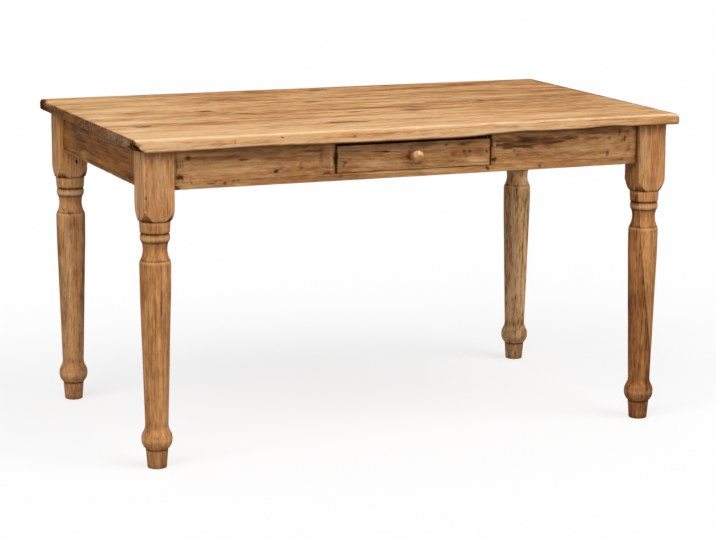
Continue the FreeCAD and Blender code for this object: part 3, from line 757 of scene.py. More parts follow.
lipSet = {
    "level": -0.2,
    # height, place and width of the steps: left of the place, or right of it for a width below 0
    "steps": ((3.2, 150.0, 16.0), (-0.6, 560.0, -20.0)),
    # height, place, width and power of the bells: two places that hang lower and three worn dips
    "bells": ((1.0, -620.0, 60.0, 2), (-2.0, -400.0, 70.0, 2), (-1.6, 255.0, 45.0, 2), (2.4, 10.0, 215.0, 8),
              (-3.6, 495.0, 45.0, 2)),
    "grime": (0.30, 0.85, -200.0, 12.0),    # painted shade: left, right, where it changes and how wide the change is
}
breakSet = {
    "height": 19.0,          # at the front of the end
    "fade": 25.0,            # how much lower it lies farther back
    "fadeFrom": 6.0,
    "fadeLength": 34.0,
    "ragged": 2.0,
    "ragLength": 3.0,
}


def stepDown(s, place, width):
    # from 1 to 0 where s passes a place
    return 1 / (1 + np.exp((s - place) / width))


def frontLip(s):
    # lower front edge below the underside: steps, and bells exp(-(distance / width) ** power)
    steps = sum(height * stepDown(s, place, width) for height, place, width in lipSet["steps"])
    bells = sum(height * np.exp(-((s - place) / width) ** power)
                for height, place, width, power in lipSet["bells"])
    return steps + bells + lipSet["level"]


def lipGrime(s):
    # painted shade on the lower front edge: thin on the left, thick from the drawer on
    left, right, place, width = lipSet["grime"]
    return right + (left - right) * stepDown(s, place, width)


def brokenCorner(along, inward):
    # slanted break at the end, falling 1:1 along the board and fading towards the back
    fade = np.clip((inward - breakSet["fadeFrom"]) / breakSet["fadeLength"], 0, 1)
    ragged = breakSet["ragged"] * np.sin(inward / breakSet["ragLength"])
    return breakSet["height"] - along - breakSet["fade"] * fade + ragged


def addTop(settings):
    upper, lower, seam = settings["upperRound"], settings["lowerRound"], settings["seamRound"]
    frontCorner, backCorner = settings["cornerRound"]
    fromEnd, *lineShape = settings["rightLine"]
    for number in range(1, settings["boards"] + 1):
        node = "top_board_" + str(number)
        low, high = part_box(node)
        front, back = number == 1, number == settings["boards"]
        look = {
            **settings["look"],
            "seed": 100 * number,
            "radii": (lower if front else seam, lower if back else seam,
                      upper if back else seam, upper if front else seam),
            "endRound": [settings[key][number - 1] for key in ("leftRound", "rightRound", "underRound")],
            "planRound": (frontCorner * front, backCorner * back),
            "wave": (1.0 * front, 1.0 * back),
            # cream wear on the upper arrises with painted highlight; painted shade on the lower front edge,
            # dirt in the seams
            "edgeWear": (0.2 * front, 0.2 * back, 1.0 * back, 1.0 * front),
            "edgeDirtAndShade": (0.4 * front, 0.1, 0.5 * (not back), 0.5 * (not front)),
            "lip": frontLip if front else None,
            "lipGrime": lipGrime,
            "broken": brokenCorner if front else None,
        }
        level = high[2] / mm
        rightLine = (high[0] / mm - fromEnd, (low[1] + high[1]) / 2 / mm, *lineShape)
        wood = {
            **settings["wood"],
            "seed": 10 + number,
            "centre": tuple((low + high) / 2),
            "pith": settings["hearts"][number - 1],
            "tone": settings["tones"][number - 1],
            "knots": [(x, y, level, *knot) for x, y, *knot in settings["knots"].get(number, ())],
            "stains": joined(faceMarks("Z", level, settings["marks"][number]),
                             settings["edgeStains"][number],
                             faceMarks("Z", level, {"brown": (rightLine,)})),
        }
        plank(node, look, pine("top pine " + str(number), wood))


addTop(topSet)
print("top: seven boards")


# Aprons, and the rail that runs under the drawer
apronSet = {
    "tenon": 32.0,
    "cheek": 6.0,
    "railShoulder": 3.0,
    "bottomRound": 2.0,
    "joinRound": 0.25,
    "topRound": 0.4,
    "bow": 0.6,                   # how far the face that is seen wanders
    # axis and level of the face that is seen, in millimetres
    "faces": {
        "front_rail": ("Y", -368.0),
        "front_apron_left": ("Y", -368.0),
        "front_apron_right": ("Y", -368.0),
        "back_apron": ("Y", 368.0),
        "left_end_apron": ("X", -649.0),
        "right_end_apron": ("X", 649.0),
    },
    "wood": {"tones": "apron", "worn": True, "late": 0.10, "streak": 0.24, "mottle": 0.24, "grit": 0.24,
             "fibre": 0.22, "specks": 0.2, "cloud": 0.42, "broken": 0.45, "blush": 0.35, "rough": 0.62},
    "ownWood": {
        "front_rail": {"tone": -0.04, "pith": (0.05, 0.13), "grey": 0.25},
        "front_apron_left": {"pith": (0.10, -0.12), "grey": 0.15},
        "front_apron_right": {"tone": -0.06, "pith": (0.08, 0.14), "grey": 0.15},
        "back_apron": {"pith": (-0.13, 0.02), "grey": 0.3},
        "left_end_apron": {"tones": "end", "order": "YXZ", "tone": 0.34, "pith": (0.10, 0.12),
                           "specks": 0.05, "grit": 0.12, "fibre": 0.18, "streak": 0.42, "mottle": 0.20,
                           "blush": 0.04, "gloss": 0.032},
        "right_end_apron": {"order": "YXZ", "tone": 0.04, "pith": (-0.15, 0.02), "grey": 0.3},
    },
    # on the face, by colour: place along and up, reach along and up, strength, softness
    "marks": {
        "front_rail": {
            "umber": ((-580, 644, 7, 5, 1.0, 0.5), (-488, 656, 5, 3, 0.6, 0.6), (189, 650, 4, 4, 0.8, 0.6),
                      (575, 642, 14, 4, 0.8, 0.6)),
            "brown": ((-545, 656, 3, 4, 0.7, 0.6), (-524, 652, 15, 1.8, 0.55, 0.9),
                      (-497, 651, 12, 2.4, 0.8, 0.8), (-465, 649, 5, 4.5, 0.9, 0.6),
                      (-445, 656, 4, 4, 0.8, 0.6), (-434, 656, 3.5, 4, 0.7, 0.6),
                      (-184, 651, 5.5, 3.2, 0.85, 0.6), (189, 650, 5, 4.8, 1.1, 0.5),
                      (326, 648, 4.5, 5, 0.9, 0.6), (528, 652, 20, 2.2, 0.7, 0.6),
                      (544, 653, 6, 3, 0.8, 0.6)),
            "grey": ((-500, 643, 40, 3, 0.5, 0.7),),
            "red": ((-330, 649, 110, 7, 0.35, 0.8), (345, 649, 18, 4, 0.5, 0.7),
                    (470, 648, 70, 7, 0.35, 0.8)),
            "pale": ((-70, 654, 60, 3, 0.4, 0.8), (40, 652, 70, 4, 0.3, 0.8)),
        },
        "front_apron_left": {
            "umber": ((-579, 696, 2.6, 15, 0.8, 0.6), (-573, 669, 9, 5.5, 0.95, 0.5),
                      (-566, 662, 2.6, 8, 0.7, 0.6), (-552, 711, 7.5, 7, 0.95, 0.6),
                      (-423, 700.8, 15, 2.2, 1.1, 0.5), (-343, 671, 6.5, 4, 0.95, 0.5),
                      (-231, 708, 7, 11, 0.6, 0.7), (-200, 690, 3.5, 16, 0.9, 0.6)),
            "brown": ((-571, 697, 2, 13, 0.7, 0.6), (-565, 698, 1.6, 13, 0.6, 0.6),
                      (-530, 710, 28, 4, 0.65, 0.7), (-547, 664, 2, 7, 0.35, 0.8),
                      (-470, 709, 50, 5, 0.45, 0.8), (-400, 711, 105, 11, 0.45, 0.6),
                      (-346, 699.5, 56, 3.4, 0.75, 0.6), (-333, 676, 8, 3.4, 0.7, 0.6),
                      (-325, 679.5, 5, 2.2, 0.6, 0.6), (-357, 667, 6, 2.2, 0.6, 0.6),
                      (-312, 671, 11, 2, 0.5, 0.7), (-283, 678, 6.5, 8, 0.7, 0.6),
                      (-265, 713, 11, 4.5, 0.75, 0.6), (-246, 711, 13, 5, 0.75, 0.6),
                      (-233, 691, 7, 9, 0.65, 0.7), (-217, 659, 10, 3.6, 1.0, 0.5),
                      # the brown mark at z 725 is painted shade under the top
                      (-218, 672, 2.4, 4, 0.6, 0.6), (-390, 725, 200, 6, 0.5, 0.6)),
            "red": ((-576, 663, 5, 3.5, 0.6, 0.6), (-445, 705, 16, 3.5, 0.45, 0.7)),
            "ash": ((-207.5, 688, 4, 26, 0.35, 0.9),),
            # dark strip at the end beside the drawer slit: painted shade
            "dark": ((-198, 690, 2.6, 22, 1.2, 0.6),),
            "pale": ((-440, 684, 120, 10, 0.25, 0.9),),
        },
        "front_apron_right": {
            "brown": ((272, 706, 84, 13, 1.0, 0.4), (348, 710, 16, 10, 1.0, 0.6),
                      (400, 710, 28, 9, 0.9, 0.6), (468, 708, 24, 4.5, 0.85, 0.6),
                      (512, 707, 5.5, 6, 0.6, 0.6), (257, 688, 5, 4, 0.55, 0.6), (266, 676, 6, 5, 0.5, 0.6),
                      (321, 676, 5, 4, 0.5, 0.6), (370, 687, 9, 6, 0.45, 0.7), (222, 661, 9, 2.6, 0.5, 0.6),
                      (508, 670, 4.5, 8, 0.85, 0.6), (495, 672, 10, 1.8, 0.5, 0.6),
                      (500, 662, 10, 1.8, 0.5, 0.6), (530, 682, 15, 2.2, 0.5, 0.6),
                      (540, 718, 4.5, 8, 0.7, 0.6), (547, 699, 3, 8, 0.6, 0.6), (562, 718, 8, 7, 0.7, 0.6),
                      (565, 684, 7, 9, 0.6, 0.6), (566, 675, 6.5, 4, 0.55, 0.6),
                      # the brown mark at z 724 is painted shade under the top
                      (480, 724, 95, 7, 0.55, 0.6)),
            "umber": ((290, 712, 30, 6, 0.85, 0.7), (214, 713, 11, 3.2, 0.6, 0.7),
                      (238, 705, 13, 3.2, 0.6, 0.7), (272, 698, 52, 2.8, 0.85, 0.6),
                      (362, 703.5, 38, 3.2, 0.95, 0.6), (480, 708, 9, 2.6, 0.5, 0.6),
                      (204, 671, 7, 5, 1.1, 0.5), (554, 703, 3.6, 9.5, 0.9, 0.6)),
            "red": ((372, 706, 40, 6, 0.4, 0.8), (205, 661, 6.5, 5, 0.7, 0.6), (232, 718, 28, 4, 0.4, 0.7),
                    (556, 672, 5.5, 11, 0.45, 0.7)),
            "dark": ((203, 670, 4.5, 5, 0.9, 0.6),),
            "pale": ((206.5, 706, 4, 7, 0.4, 0.6), (420, 684, 110, 10, 0.25, 0.9)),
            "grey": ((300, 720, 34, 3.5, 0.5, 0.7),),
        },
        "back_apron": {
            "brown": ((-60, 712, 260, 12, 0.5, 0.9), (120, 668, 12, 6, 0.8, 0.6)),
            "umber": ((300, 678, 70, 1.6, 0.8, 0.6), (-310, 690, 10, 6, 0.8, 0.6),
                      (430, 702, 13, 7, 0.8, 0.6)),
            "grey": ((-450, 660, 130, 14, 0.5, 0.9),),
        },
        "left_end_apron": {
            "red": ((-60, 710, 260, 8, 0.3, 0.9), (125, 702, 44, 9, 0.4, 0.7), (135, 652, 24, 9, 0.5, 0.7),
                    (5, 658, 34, 4, 0.7, 0.6), (-205, 677, 34, 5, 0.6, 0.6), (40, 700, 90, 7, 0.35, 0.9)),
            "amber": ((60, 656, 250, 11, 0.3, 0.9), (262, 690, 60, 40, 0.3, 0.9),
                      (130, 656, 60, 12, 0.3, 0.9)),
            "ash": ((-120, 712, 150, 6, 0.1, 0.9), (150, 708, 130, 8, 0.12, 0.9)),
            "umber": ((236, 645, 16, 4, 0.7, 0.7), (-100, 644, 200, 3, 0.6, 0.6),
                      (30, 651, 40, 3, 0.5, 0.6), (-304, 690, 4, 60, 0.6, 0.6)),
            "brown": ((-140, 677, 34, 3.5, 0.6, 0.6), (60, 684, 70, 4, 0.5, 0.7)),
            "grey": ((-180, 691, 26, 6, 0.35, 0.7),),
        },
        "right_end_apron": {
            "brown": ((-40, 714, 220, 12, 0.5, 0.9), (-180, 662, 12, 5, 0.8, 0.6)),
            "umber": ((60, 676, 80, 1.6, 0.8, 0.6), (120, 690, 11, 6, 0.8, 0.6)),
        },
    },
}


def addAprons(settings):
    tenon, cheek, bow = settings["tenon"], settings["cheek"], settings["bow"]
    bottom, join, top = settings["bottomRound"], settings["joinRound"], settings["topRound"]
    # aprons: painted shade under the top, dirt and painted shade at their ends and upper edges
    shared = {"tenons": (tenon, tenon), "tenonSide": (cheek, cheek), "hollow": 0.4, "endDirtAndShade": (1.1, 1.1),
              "edgeWear": (0.45, 0.45, 0.0, 0.0), "edgeDirtAndShade": (0.0, 0.0, 0.5, 0.5), "topShade": 0.9}
    whole = {"radii": (bottom, bottom, top, top)}
    upper = {"radii": (join, join, top, top), "edgeWear": (0.1, 0.1, 0.0, 0.0),
             "edgeDirtAndShade": (0.1, 0.0, 0.5, 0.5)}
    shoulder = settings["railShoulder"]
    looks = {
        "front_rail": {"radii": (bottom, bottom, join, join), "tenonShoulder": (shoulder, shoulder),
                       "wave": (bow, 0.0), "edgeDirtAndShade": (0.0, 0.0, 0.3, 0.1), "topShade": 0.0, "seed": 21},
        "front_apron_left": {**upper, "tenons": (tenon, 0.0), "endDirtAndShade": (0.9, 0.5), "seed": 22},
        "front_apron_right": {**upper, "tenons": (0.0, tenon), "endDirtAndShade": (0.5, 1.4), "seed": 23},
        "back_apron": {**whole, "wave": (0.0, bow), "seed": 24},
        "left_end_apron": {**whole, "wave": (bow, 0.0), "along": 1, "topShade": 0.0, "endDirtAndShade": (0.6, 0.0),
                           "seed": 25},
        "right_end_apron": {**whole, "wave": (0.0, bow), "along": 1, "seed": 26},
    }
    for node, look in looks.items():
        low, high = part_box(node)
        stains = faceMarks(*settings["faces"][node], settings["marks"][node])
        wood = {**settings["wood"], **settings["ownWood"][node], "centre": tuple((low + high) / 2),
                "seed": look["seed"], "stains": stains}
        plank(node, {**shared, **look}, pine(node.replace("_", " ") + " pine", wood))


addAprons(apronSet)
print("aprons: five and a rail")


# Legs: turned by hand below a square head
legSet = {
    "half": 36.5,
    "arris": 3.0,
    # height, radius and the bow of the run that arrives there, millimetres
    "turning": ((0, 20, 0), (2.5, 22.5, 0.7), (43, 25.75, 0), (44, 24.95, 0), (45, 26.3, 0),
                (69, 35.7, 2.9), (85, 31.3, 1.2), (102, 26.8, -1.1), (403.5, 35.3, 0), (469.5, 36.1, 0.2),
                (481.5, 34.2, 0.9), (481.5, 33.2, 0), (483.5, 33.2, 0), (525.5, 31.6, -4.3),
                (525.5, 32.7, 0), (541.5, 32.7, 1.6), (543.5, 31.4, 0), (545.5, 34.0, 0), (571.3, 35.8, 0),
                (572.5, 34.6, 0), (572.5, 38.6, 0), (602, 51.62, 1.2), (602.5, 60, 0), (735, 60, 0)),
    "step": 2.5,
    "quarter": (36, 9),           # steps on a face and round an arris
    "chips": (1.6, 16, 14.0),     # depth, count and reach of the bites in each arris
    "uneven": 0.014,
    "unevenHead": 0.35,           # share of it on the square head
    # height, half width and darkness of the grooves and rings, dark with dirt and painted shade
    "grooves": ((44, 2.2, 0.9), (482.5, 2.2, 0.45), (524.5, 3.0, 0.9), (543.8, 3.2, 1.25), (573, 2.6, 0.8),
                (100, 9, 0.25), (4, 7, 0.45), (514, 9, 0.25), (24, 20, 0.22)),
    # height, half width and strength of the rubbed rings, with painted highlight
    "crests": ((69, 5, 0.35), (533, 4, 0.6), (567, 3, 0.35), (478.5, 2.5, 0.45)),
    "tongues": (572, 592, 15.0),  # heights between which the turning beside them is dark with dirt and painted shade, and its fade
    "tongueDirtAndShade": (0.85, 0.25, 2.0),    # between them, along their edges, and how far from the edges
    "tongueWear": (0.5, 1.5),     # along their edges, and how far from the edges
    "arrisFrom": (1.30, 1.34),    # how far out the arrises are chipped and rubbed, in halves
    "arrisWear": 0.22,
    "topEnd": 734.9,
    "wood": {"tones": "leg", "order": "ZXY", "worn": True, "late": 0.16, "streak": 0.26, "mottle": 0.28,
             "fibre": 0.20, "cloud": 0.3, "ring": 0.0042, "wander": 0.008},
    "legs": {
        "leg_front_left": {
            "seed": 41, "tone": 0.02, "pith": (0.10, -0.05), "lean": (0.05, 0.03),
            "stains": {
                "brown": ((-657, -382, 630, 3.4, 5, 4.4, 1.1, 0.5), (-655, -382, 678, 3, 5, 4, 0.5, 0.6),
                          (-622, -381, 400, 2.4, 9, 60, 0.75, 0.7), (-636, -379, 320, 2.2, 9, 90, 0.5, 0.8),
                          # the brown mark at z 724 is painted shade under the table top
                          (-612, -379, 300, 2, 9, 70, 0.5, 0.8), (-625, -372, 724, 60, 60, 18, 0.4, 0.7),
                          (-650, -380, 480, 10, 14, 90, 0.3, 0.9), (-624, -345, 250, 60, 60, 150, 0.3, 0.3),
                          (-624, -345, 35, 60, 60, 50, 0.26, 0.4)),
                "ash": ((-622, -384, 665, 34, 7, 80, 0.14, 0.6),),
                "amber": ((-598, -382, 655, 8, 10, 22, 0.55, 0.7),),
                "pale": ((-662, -345, 665, 6, 50, 90, 0.24, 0.5),),
            },
        },
        "leg_front_right": {
            "seed": 42, "tone": 0.02, "pith": (-0.20, 0.085), "lean": (0.095, -0.04), "heart": 0.220,
            "streak": 0.26, "mottle": 0.22,
            "stains": {
                "pale": ((600, -382, 665, 14, 8, 70, 0.28, 0.6),),
                "red": ((641, -382, 660, 16, 8, 75, 0.35, 0.6),),
                "amber": ((588, -350, 606, 10, 34, 34, 0.5, 0.6),),
                "dark": ((588, -310, 606, 7, 6, 32, 0.6, 0.6),),
                # the brown marks at x 586 on the inner face and at z 726 on the head are painted shade under
                # the table
                "brown": ((586, -346, 625, 8, 46, 75, 0.8, 0.5), (625, -372, 726, 60, 60, 16, 0.4, 0.7),
                          (624, -345, 250, 60, 60, 150, 0.3, 0.3), (624, -345, 35, 60, 60, 50, 0.26, 0.4)),
                "grey": ((622, -382, 600, 8, 8, 10, 0.4, 0.7),),
            },
        },
        "leg_back_left": {
            "seed": 43, "tone": -0.18, "pith": (0.12, 0.05), "lean": (-0.04, 0.03), "grey": 0.35,
            "mottle": 0.34, "grit": 0.36, "late": 0.3, "fibre": 0.34, "specks": 0.5,
            "stains": {
                "dark": ((-617, 309, 612, 4, 4, 5, 0.95, 0.5),),
                "brown": ((-630, 312, 455, 16, 10, 16, 0.6, 0.7), (-622, 309, 668, 30, 9, 62, 0.5, 0.7),
                          # the brown marks at x -594 and -660 darken the sides of the shaft: painted shade
                          (-594, 335, 290, 13, 40, 230, 0.85, 0.9), (-660, 345, 290, 6, 40, 230, 0.8, 0.9)),
                "amber": ((-659, 309, 655, 7, 9, 75, 0.9, 0.6),),
                "umber": ((-636, 311, 482, 12, 10, 7, 0.7, 0.9),),
                "pale": ((-624, 312, 533, 40, 40, 6, 0.4, 0.7), (-640, 313, 290, 6, 12, 190, 0.35, 0.8)),
            },
        },
        "leg_back_right": {
            "seed": 44, "tones": "weathered", "tone": -0.24, "pith": (0.04, -0.12), "lean": (0.02, 0.05),
            "grey": 0.12, "mottle": 0.42, "grit": 0.45, "specks": 0.5,
            "stains": {
                "umber": ((605, 314, 470, 7, 8, 40, 0.4, 0.8),),
                # the brown marks at x 656 and 592 darken the sides of the shaft: painted shade
                "brown": ((630, 310, 300, 4, 8, 90, 0.5, 0.7), (646, 316, 420, 18, 24, 90, 0.75, 0.9),
                          (624, 345, 60, 60, 60, 60, 0.4, 0.5), (656, 330, 330, 14, 40, 190, 0.55, 0.9),
                          (592, 345, 330, 6, 40, 190, 0.5, 0.9)),
                "ash": ((606, 316, 270, 13, 16, 190, 0.32, 0.8),),
            },
        },
    },
}


def turnedPath(turning, step):
    # runs between rings: straight chord plus bow * 4t(1 - t), square to it and outwards
    heights, radii = [], []
    for (z0, r0, _), (z1, r1, bow) in zip(turning, turning[1:]):
        length = math.hypot(z1 - z0, r1 - r0)
        t = np.linspace(0, 1, max(3, math.ceil(length / step) + 1))[:-1]
        swell = bow * 4 * t * (1 - t)
        heights.append(z0 + (z1 - z0) * t - swell * (r1 - r0) / length)
        radii.append(r0 + (r1 - r0) * t + swell * (z1 - z0) / length)
    lastHeight, lastRadius, _ = turning[-1]
    return np.append(np.concatenate(heights), lastHeight), np.append(np.concatenate(radii), lastRadius)


def squareRadius(angle, half, arris):
    # distance to a square with rounded arrises: the flat face, or the corner circle beyond it
    turned = np.abs((angle + math.pi / 4) % (math.pi / 2) - math.pi / 4)
    core = half - arris
    along = core * (np.cos(turned) + np.sin(turned))
    circle = along + np.sqrt(np.maximum(along ** 2 - 2 * core ** 2 + arris ** 2, 0))
    return np.where(np.tan(turned) * half <= core, half / np.cos(turned), circle)


def ringBells(height, bands):
    # sum of bells round the leg, each with its height, half width and strength
    return sum(strength * np.exp(-((height - at) / wide) ** 2) for at, wide, strength in bands)


def turnedLeg(node, settings, seed, material):
    low, high = (np.array(corner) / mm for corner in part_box(node))
    z, radius = turnedPath(settings["turning"], settings["step"])
    half, arris = settings["half"], settings["arris"]
    face, corner = settings["quarter"]
    edge = math.atan2(half - arris, half)
    quarter = np.concatenate([np.linspace(-edge, edge, face, endpoint=False),
                              np.linspace(edge, math.pi / 2 - edge, corner, endpoint=False)])
    angle = (quarter + np.arange(4)[:, None] * math.pi / 2).reshape(-1)
    height = np.broadcast_to(z[:, None], (len(z), len(angle)))
    side, ahead = (np.broadcast_to(turn * half, height.shape) for turn in (np.cos(angle), np.sin(angle)))

    # the smaller of the turning and the chipped square, a little uneven
    chipDepth, chipCount, chipReach = settings["chips"]
    bites = np.stack([chips(seed + number, z, chipCount, chipReach) for number in range(4)], -1)
    square = squareRadius(angle, half, arris)
    chipped, rubbed = (half * share for share in settings["arrisFrom"])
    square = square - chipDepth * (square > chipped) * bites[:, np.arange(len(angle)) // (face + corner)]
    turning = radius[:, None]
    onHead = turning > square
    reach = np.minimum(turning, square)
    uneven = settings["uneven"] * ripple(seed, (60.0, 60.0, 170.0), side, ahead, height)
    reach = reach * (1 - np.where(onHead, settings["unevenHead"], 1.0) * uneven)
    centre = (low[:2] + high[:2]) / 2
    points = np.stack([centre[0] + reach * np.cos(angle), centre[1] + reach * np.sin(angle), height], -1)

    # dirt and painted shade in the grooves and round the tongues of the head, wear on arrises and tongues,
    # wear with painted highlight on crests
    rag = 0.4 + 0.6 * ripple(seed + 3, (40.0, 40.0, 60.0), side, ahead, height)
    lowest, highest, fade = settings["tongues"]
    between, atEdge, edgeReach = settings["tongueDirtAndShade"]
    short = np.clip(square - turning, 0, 60)
    dirtAndShade = between * np.clip((highest - height) / fade, 0, 1) + atEdge * np.exp(-(short / edgeReach) ** 2)
    grime = ringBells(height, settings["grooves"]) + ((height > lowest) & ~onHead) * dirtAndShade
    edgeWear, wearReach = settings["tongueWear"]
    worn = ringBells(height, settings["crests"]) + settings["arrisWear"] * (onHead & (square > rubbed))
    worn = worn + edgeWear * onHead * np.exp(-((turning - square) / wearReach) ** 2)
    fields = {
        "worn": worn * rag,
        "grime": grime * (1.25 - 0.55 * rag),
        "endGrain": 1.0 * (height > settings["topEnd"]),
    }
    return addPiece(node, points * mm, fields, material)


def addLegs(settings):
    for node, leg in settings["legs"].items():
        low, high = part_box(node)
        wood = {**settings["wood"], "centre": tuple((low + high) / 2), **leg}
        turnedLeg(node, settings, leg["seed"] * 10, pine(node.replace("_", " ") + " pine", wood))


addLegs(legSet)
print("legs: four")


# Drawer front and knob keep their solids
drawerSet = {
    "front": {"tones": "apron", "seed": 61, "pith": (0.06, -0.12), "grey": 0.2, "late": 0.10, "streak": 0.26,
              "mottle": 0.28, "grit": 0.30, "fibre": 0.24, "specks": 0.25, "cloud": 0.40, "broken": 0.45,
              "blush": 0.55, "rough": 0.62, "centre": (0.0, -0.358, 0.6895),
              "rim": (0.195, 0.0315, 0.004, 0.002)},
    "face": ("Y", -368.0),
    # on the front face, by colour: x, z, reach along x and z, strength, softness
    "marks": {
        "grey": ((-60, 713, 135, 8, 0.45, 0.6), (-152, 699.5, 38, 5, 0.6, 0.6),
                 (-187, 684, 7, 24, 0.4, 0.6), (60, 683, 16, 8, 0.4, 0.9), (70, 663, 21, 5, 0.4, 0.9)),
        "red": ((-140, 711, 26, 3.5, 0.45, 0.7), (114, 690, 34, 8, 0.55, 0.9)),
        "umber": ((-150, 706.5, 32, 1.3, 0.75, 0.6), (-92, 703.5, 28, 1.5, 0.75, 0.6),
                  (-70, 701.5, 13, 2.2, 0.85, 0.6), (-165, 689, 7, 3, 0.7, 0.6),
                  (-173, 682, 5, 3.6, 0.75, 0.6), (-178, 675, 3.6, 4.5, 0.65, 0.6),
                  (80, 711, 5, 3, 0.8, 0.8), (121, 710, 10, 3.4, 0.6, 0.9), (127, 694, 5, 6, 0.8, 0.8),
                  # the umber mark at x -14 is painted shadow of the knob
                  (141, 692, 5, 5, 0.8, 0.8), (101, 687, 8, 5, 0.5, 0.9), (-14, 690, 9, 14, 0.5, 1.0),
                  (132, 683, 5, 7, 0.5, 0.9), (166, 690, 13, 7, 0.35, 1.0), (187, 690, 3.4, 4.4, 0.9, 0.7),
                  (128, 658.6, 24, 1.6, 0.9, 0.6), (-168, 658.6, 26, 1.4, 0.8, 0.6)),
        "brown": ((-38, 701.5, 24, 2, 0.5, 0.7), (-96, 696, 22, 4.6, 0.55, 0.7),
                  # the brown marks at x -10 and -30 are painted shadow of the knob
                  (-148, 669, 24, 1.2, 0.5, 0.6), (-10, 687, 12, 16, 0.85, 1.0),
                  (-30, 689, 13, 10, 0.4, 1.0), (30, 716, 36, 5, 0.75, 0.8), (130, 714, 60, 4, 0.45, 1.0),
                  (55, 698, 34, 1.6, 0.5, 0.8), (138, 691, 54, 10, 0.45, 1.0), (150, 713, 44, 6, 0.4, 1.0),
                  (84, 684, 60, 16, 0.22, 1.0), (95, 672, 14, 3.6, 0.5, 0.9), (125, 668, 24, 1.4, 0.5, 0.8),
                  (152, 665, 18, 2, 0.5, 0.8)),
        "pale": ((-100, 676, 62, 11, 0.28, 0.8), (165, 671, 26, 7, 0.25, 0.9)),
        "amber": ((62, 685, 14, 8, 0.4, 0.9),),
        # dark strip at the left side beside the slit: painted shade
        "dark": ((-193.5, 688, 2.4, 22, 1.0, 0.6),),
    },
    "knob": {
        "tones": "knob", "order": "YXZ", "seed": 62, "pith": (0.03, 0.02), "ring": 0.003, "late": 0.12,
        "streak": 0.12, "fibre": 0.12, "grit": 0.12, "mottle": 0.12, "cloud": 0.2, "tone": 0.40,
        "centre": (0.0, -0.383, 0.688), "rough": 0.42,
        # painted shade on the lower half and left of the knob, painted highlight on its top
        "stains": {
            "brown": ((2, -388, 673, 24, 20, 9, 0.8, 0.9), (-16, -386, 684, 5, 16, 10, 0.5, 0.9)),
            "umber": ((2, -388, 671, 10, 14, 4, 0.7, 0.8),),
            "cream": ((-1, -392, 699, 14, 16, 7, 0.95, 0.9),),
        },
    },
}


def dress(node, material):
    for slot in nodes[node].material_slots:
        slot.material = material


frontStains = faceMarks(*drawerSet["face"], drawerSet["marks"])
dress("drawer_front", pine("drawer front pine", {**drawerSet["front"], "stains": frontStains}))
dress("drawer_knob", pine("knob pine", drawerSet["knob"]))
print("drawer front and knob: dressed")


# Inside pieces: planed pine that was never finished
plainPine = {"tones": "inner", "pith": (0.05, -0.06), "grey": 0.12, "streak": 0.4, "cloud": 0.35,
             "rough": 0.66}
innerSet = {
    "firstSeed": 81,
    # by the way their grain runs
    "nodes": {
        "XYZ": ("drawer_back", "top_tongues", "corner_block_front_left", "corner_block_back_right"),
        "YXZ": ("drawer_runner_left", "drawer_runner_right", "drawer_guide_left", "drawer_guide_right",
                "drawer_side_left", "drawer_side_right",
                "corner_block_front_right", "corner_block_back_left", "drawer_bottom"),
        "ZXY": ("top_buttons", "drawer_stop_left", "drawer_stop_right"),
    },
}


def addInner(settings):
    runs = [(order, node) for order, names in settings["nodes"].items() for node in names]
    for seed, (order, node) in enumerate(runs, settings["firstSeed"]):
        low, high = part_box(node)
        wood = {**plainPine, "order": order, "seed": seed, "centre": tuple((low + high) / 2)}
        dress(node, pine(node.replace("_", " ") + " pine", wood))


addInner(innerSet)
print("inside pieces: dressed")


# Kickers over the drawer sides: planed by hand, dark at the front where the slit shows them, dust with
# painted shade
kickerSet = {
    "look": {"along": 1, "radii": (0.4, 0.4, 0.4, 0.4), "hollow": 0.0},
    "planed": 0.25,
    "swell": (1.2, 16.0),                   # at the front end: below the solid, and its reach
    "dustAndShade": (60, 12, 30, 2.0, 0.3),         # dust and painted shade at the front end: reach, strength, softness
    "seeds": {"drawer_kicker_left": 98, "drawer_kicker_right": 99},
}


def kickerUnder(fromFront):
    # a planed face with a swell at the front end
    swell, reach = kickerSet["swell"]
    return kickerSet["planed"] - (kickerSet["planed"] + swell) * np.exp(-(fromFront / reach) ** 2)


def addKickers(settings):
    for node, seed in settings["seeds"].items():
        low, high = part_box(node)
        centre = (low + high) / 2
        dustAndShade = (centre[0] / mm, low[1] / mm, centre[2] / mm, *settings["dustAndShade"])
        wood = {**plainPine, "order": "YXZ", "seed": seed, "centre": tuple(centre),
                "stains": {"dark": (dustAndShade,)}}
        look = {**settings["look"], "under": kickerUnder, "seed": seed}
        plank(node, look, pine(node.replace("_", " ") + " pine", wood))


addKickers(kickerSet)
print("kickers: two")


# Steel of the screws and nails: dull zinc with brown spots
steelSet = {
    "zinc": (0.42, 0.42, 0.41),
    "spots": (0.16, 0.085, 0.045),
    "rough": 0.42,
    "nodes": ("corner_block_screws", "guide_screws", "kicker_screws", "top_button_screws", "knob_screw",
              "drawer_bottom_nails"),
}


def steel(settings):
    material, g = newMaterial("fixing steel")
    place = g.node("TexCoord", output="Object")
    grain = g.noise(place, 900.0, 900.0, 3.0)
    rust = g.noise(place, 160.0, 160.0, 4.0).eased(0.50, 0.70)
    shader = g.tree.nodes["Principled BSDF"]
    g.join(g.mixColour(rust * 0.7, settings["zinc"], settings["spots"]), shader.inputs["Base Color"])
    g.join(1.0 - rust * 0.8, shader.inputs["Metallic"])
    g.join(grain * 0.2 + rust * 0.25 + settings["rough"] - 0.1, shader.inputs["Roughness"])
    bump = g.node("Bump", {}, {"Strength": 0.2, "Distance": 0.0002, "Height": grain})
    g.join(bump, shader.inputs["Normal"])
    return material


zincSteel = steel(steelSet)
for steelNode in steelSet["nodes"]:
    dress(steelNode, zincSteel)
print("steel: dressed")


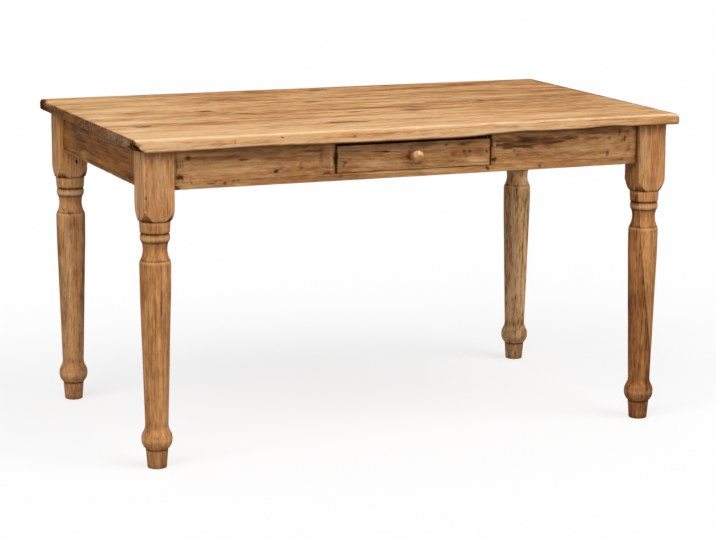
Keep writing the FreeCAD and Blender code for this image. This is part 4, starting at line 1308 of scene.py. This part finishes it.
# Studio: three soft lights from the front, even fill, pale floor that reads white
studioSet = {
    # where it shines from, strength, and how wide it is in degrees
    "lights": {
        "key": ((0.45, -0.54, 0.71), 1.40, 45.0),
        "side": ((-0.60, -0.46, 0.66), 1.50, 50.0),
        "front": ((-0.15, -0.95, 0.26), 0.40, 60.0),
    },
    "fill": 0.36,
    "floor": 0.45,               # what the floor throws back
    "floorSeen": 0.96,
    "floorWhite": 0.72,          # share of the seen floor that is plain white
    "floorHalf": 60.0,
}
white = (1.0, 1.0, 1.0, 1.0)


def seenDirectly(graph):
    # camera, mirror and glass rays
    path = graph.node("LightPath", output="Is Camera Ray")
    both = graph.math("MAXIMUM", path, path.other("Is Glossy Ray"))
    return graph.math("MAXIMUM", both, path.other("Is Transmission Ray"))


def addStudio(settings):
    for name, (source, strength, spread) in settings["lights"].items():
        lamp = bpy.data.lights.new(name, "SUN")
        lamp.energy = strength
        lamp.angle = math.radians(spread)
        light = bpy.data.objects.new(name, lamp)
        light.matrix_world = Vector(source).to_track_quat("Z", "Y").to_matrix().to_4x4()
        bpy.context.scene.collection.objects.link(light)

    world = bpy.data.worlds.new("studio")
    world.use_nodes = True
    sky = Graph(world.node_tree)
    background = world.node_tree.nodes["Background"]
    background.inputs["Color"].default_value = white
    sky.join(seenDirectly(sky) * (1.0 - settings["fill"]) + settings["fill"], background.inputs["Strength"])
    bpy.context.scene.world = world

    half = settings["floorHalf"]
    mesh = bpy.data.meshes.new("floor")
    corners = [(-half, -half, 0), (half, -half, 0), (half, half, 0), (-half, half, 0)]
    mesh.from_pydata(corners, [], [(0, 1, 2, 3)])
    material, g = newMaterial("pale floor")
    seen = seenDirectly(g)
    paper = g.mixColour(seen, (settings["floor"],) * 3, (settings["floorSeen"],) * 3)
    cloth = g.node("BsdfDiffuse", {}, {"Color": paper})
    glow = g.node("Emission", {}, {"Color": white, "Strength": 1.0})
    mixed = g.node("MixShader", {}, {0: seen * settings["floorWhite"], 1: cloth, 2: glow})
    g.join(mixed, g.tree.nodes["Material Output"].inputs["Surface"])
    mesh.materials.append(material)
    floor = bpy.data.objects.new("floor", mesh)
    bpy.context.scene.collection.objects.link(floor)


addStudio(studioSet)
bpy.context.scene.view_settings.view_transform = "Standard"
print("studio: set")
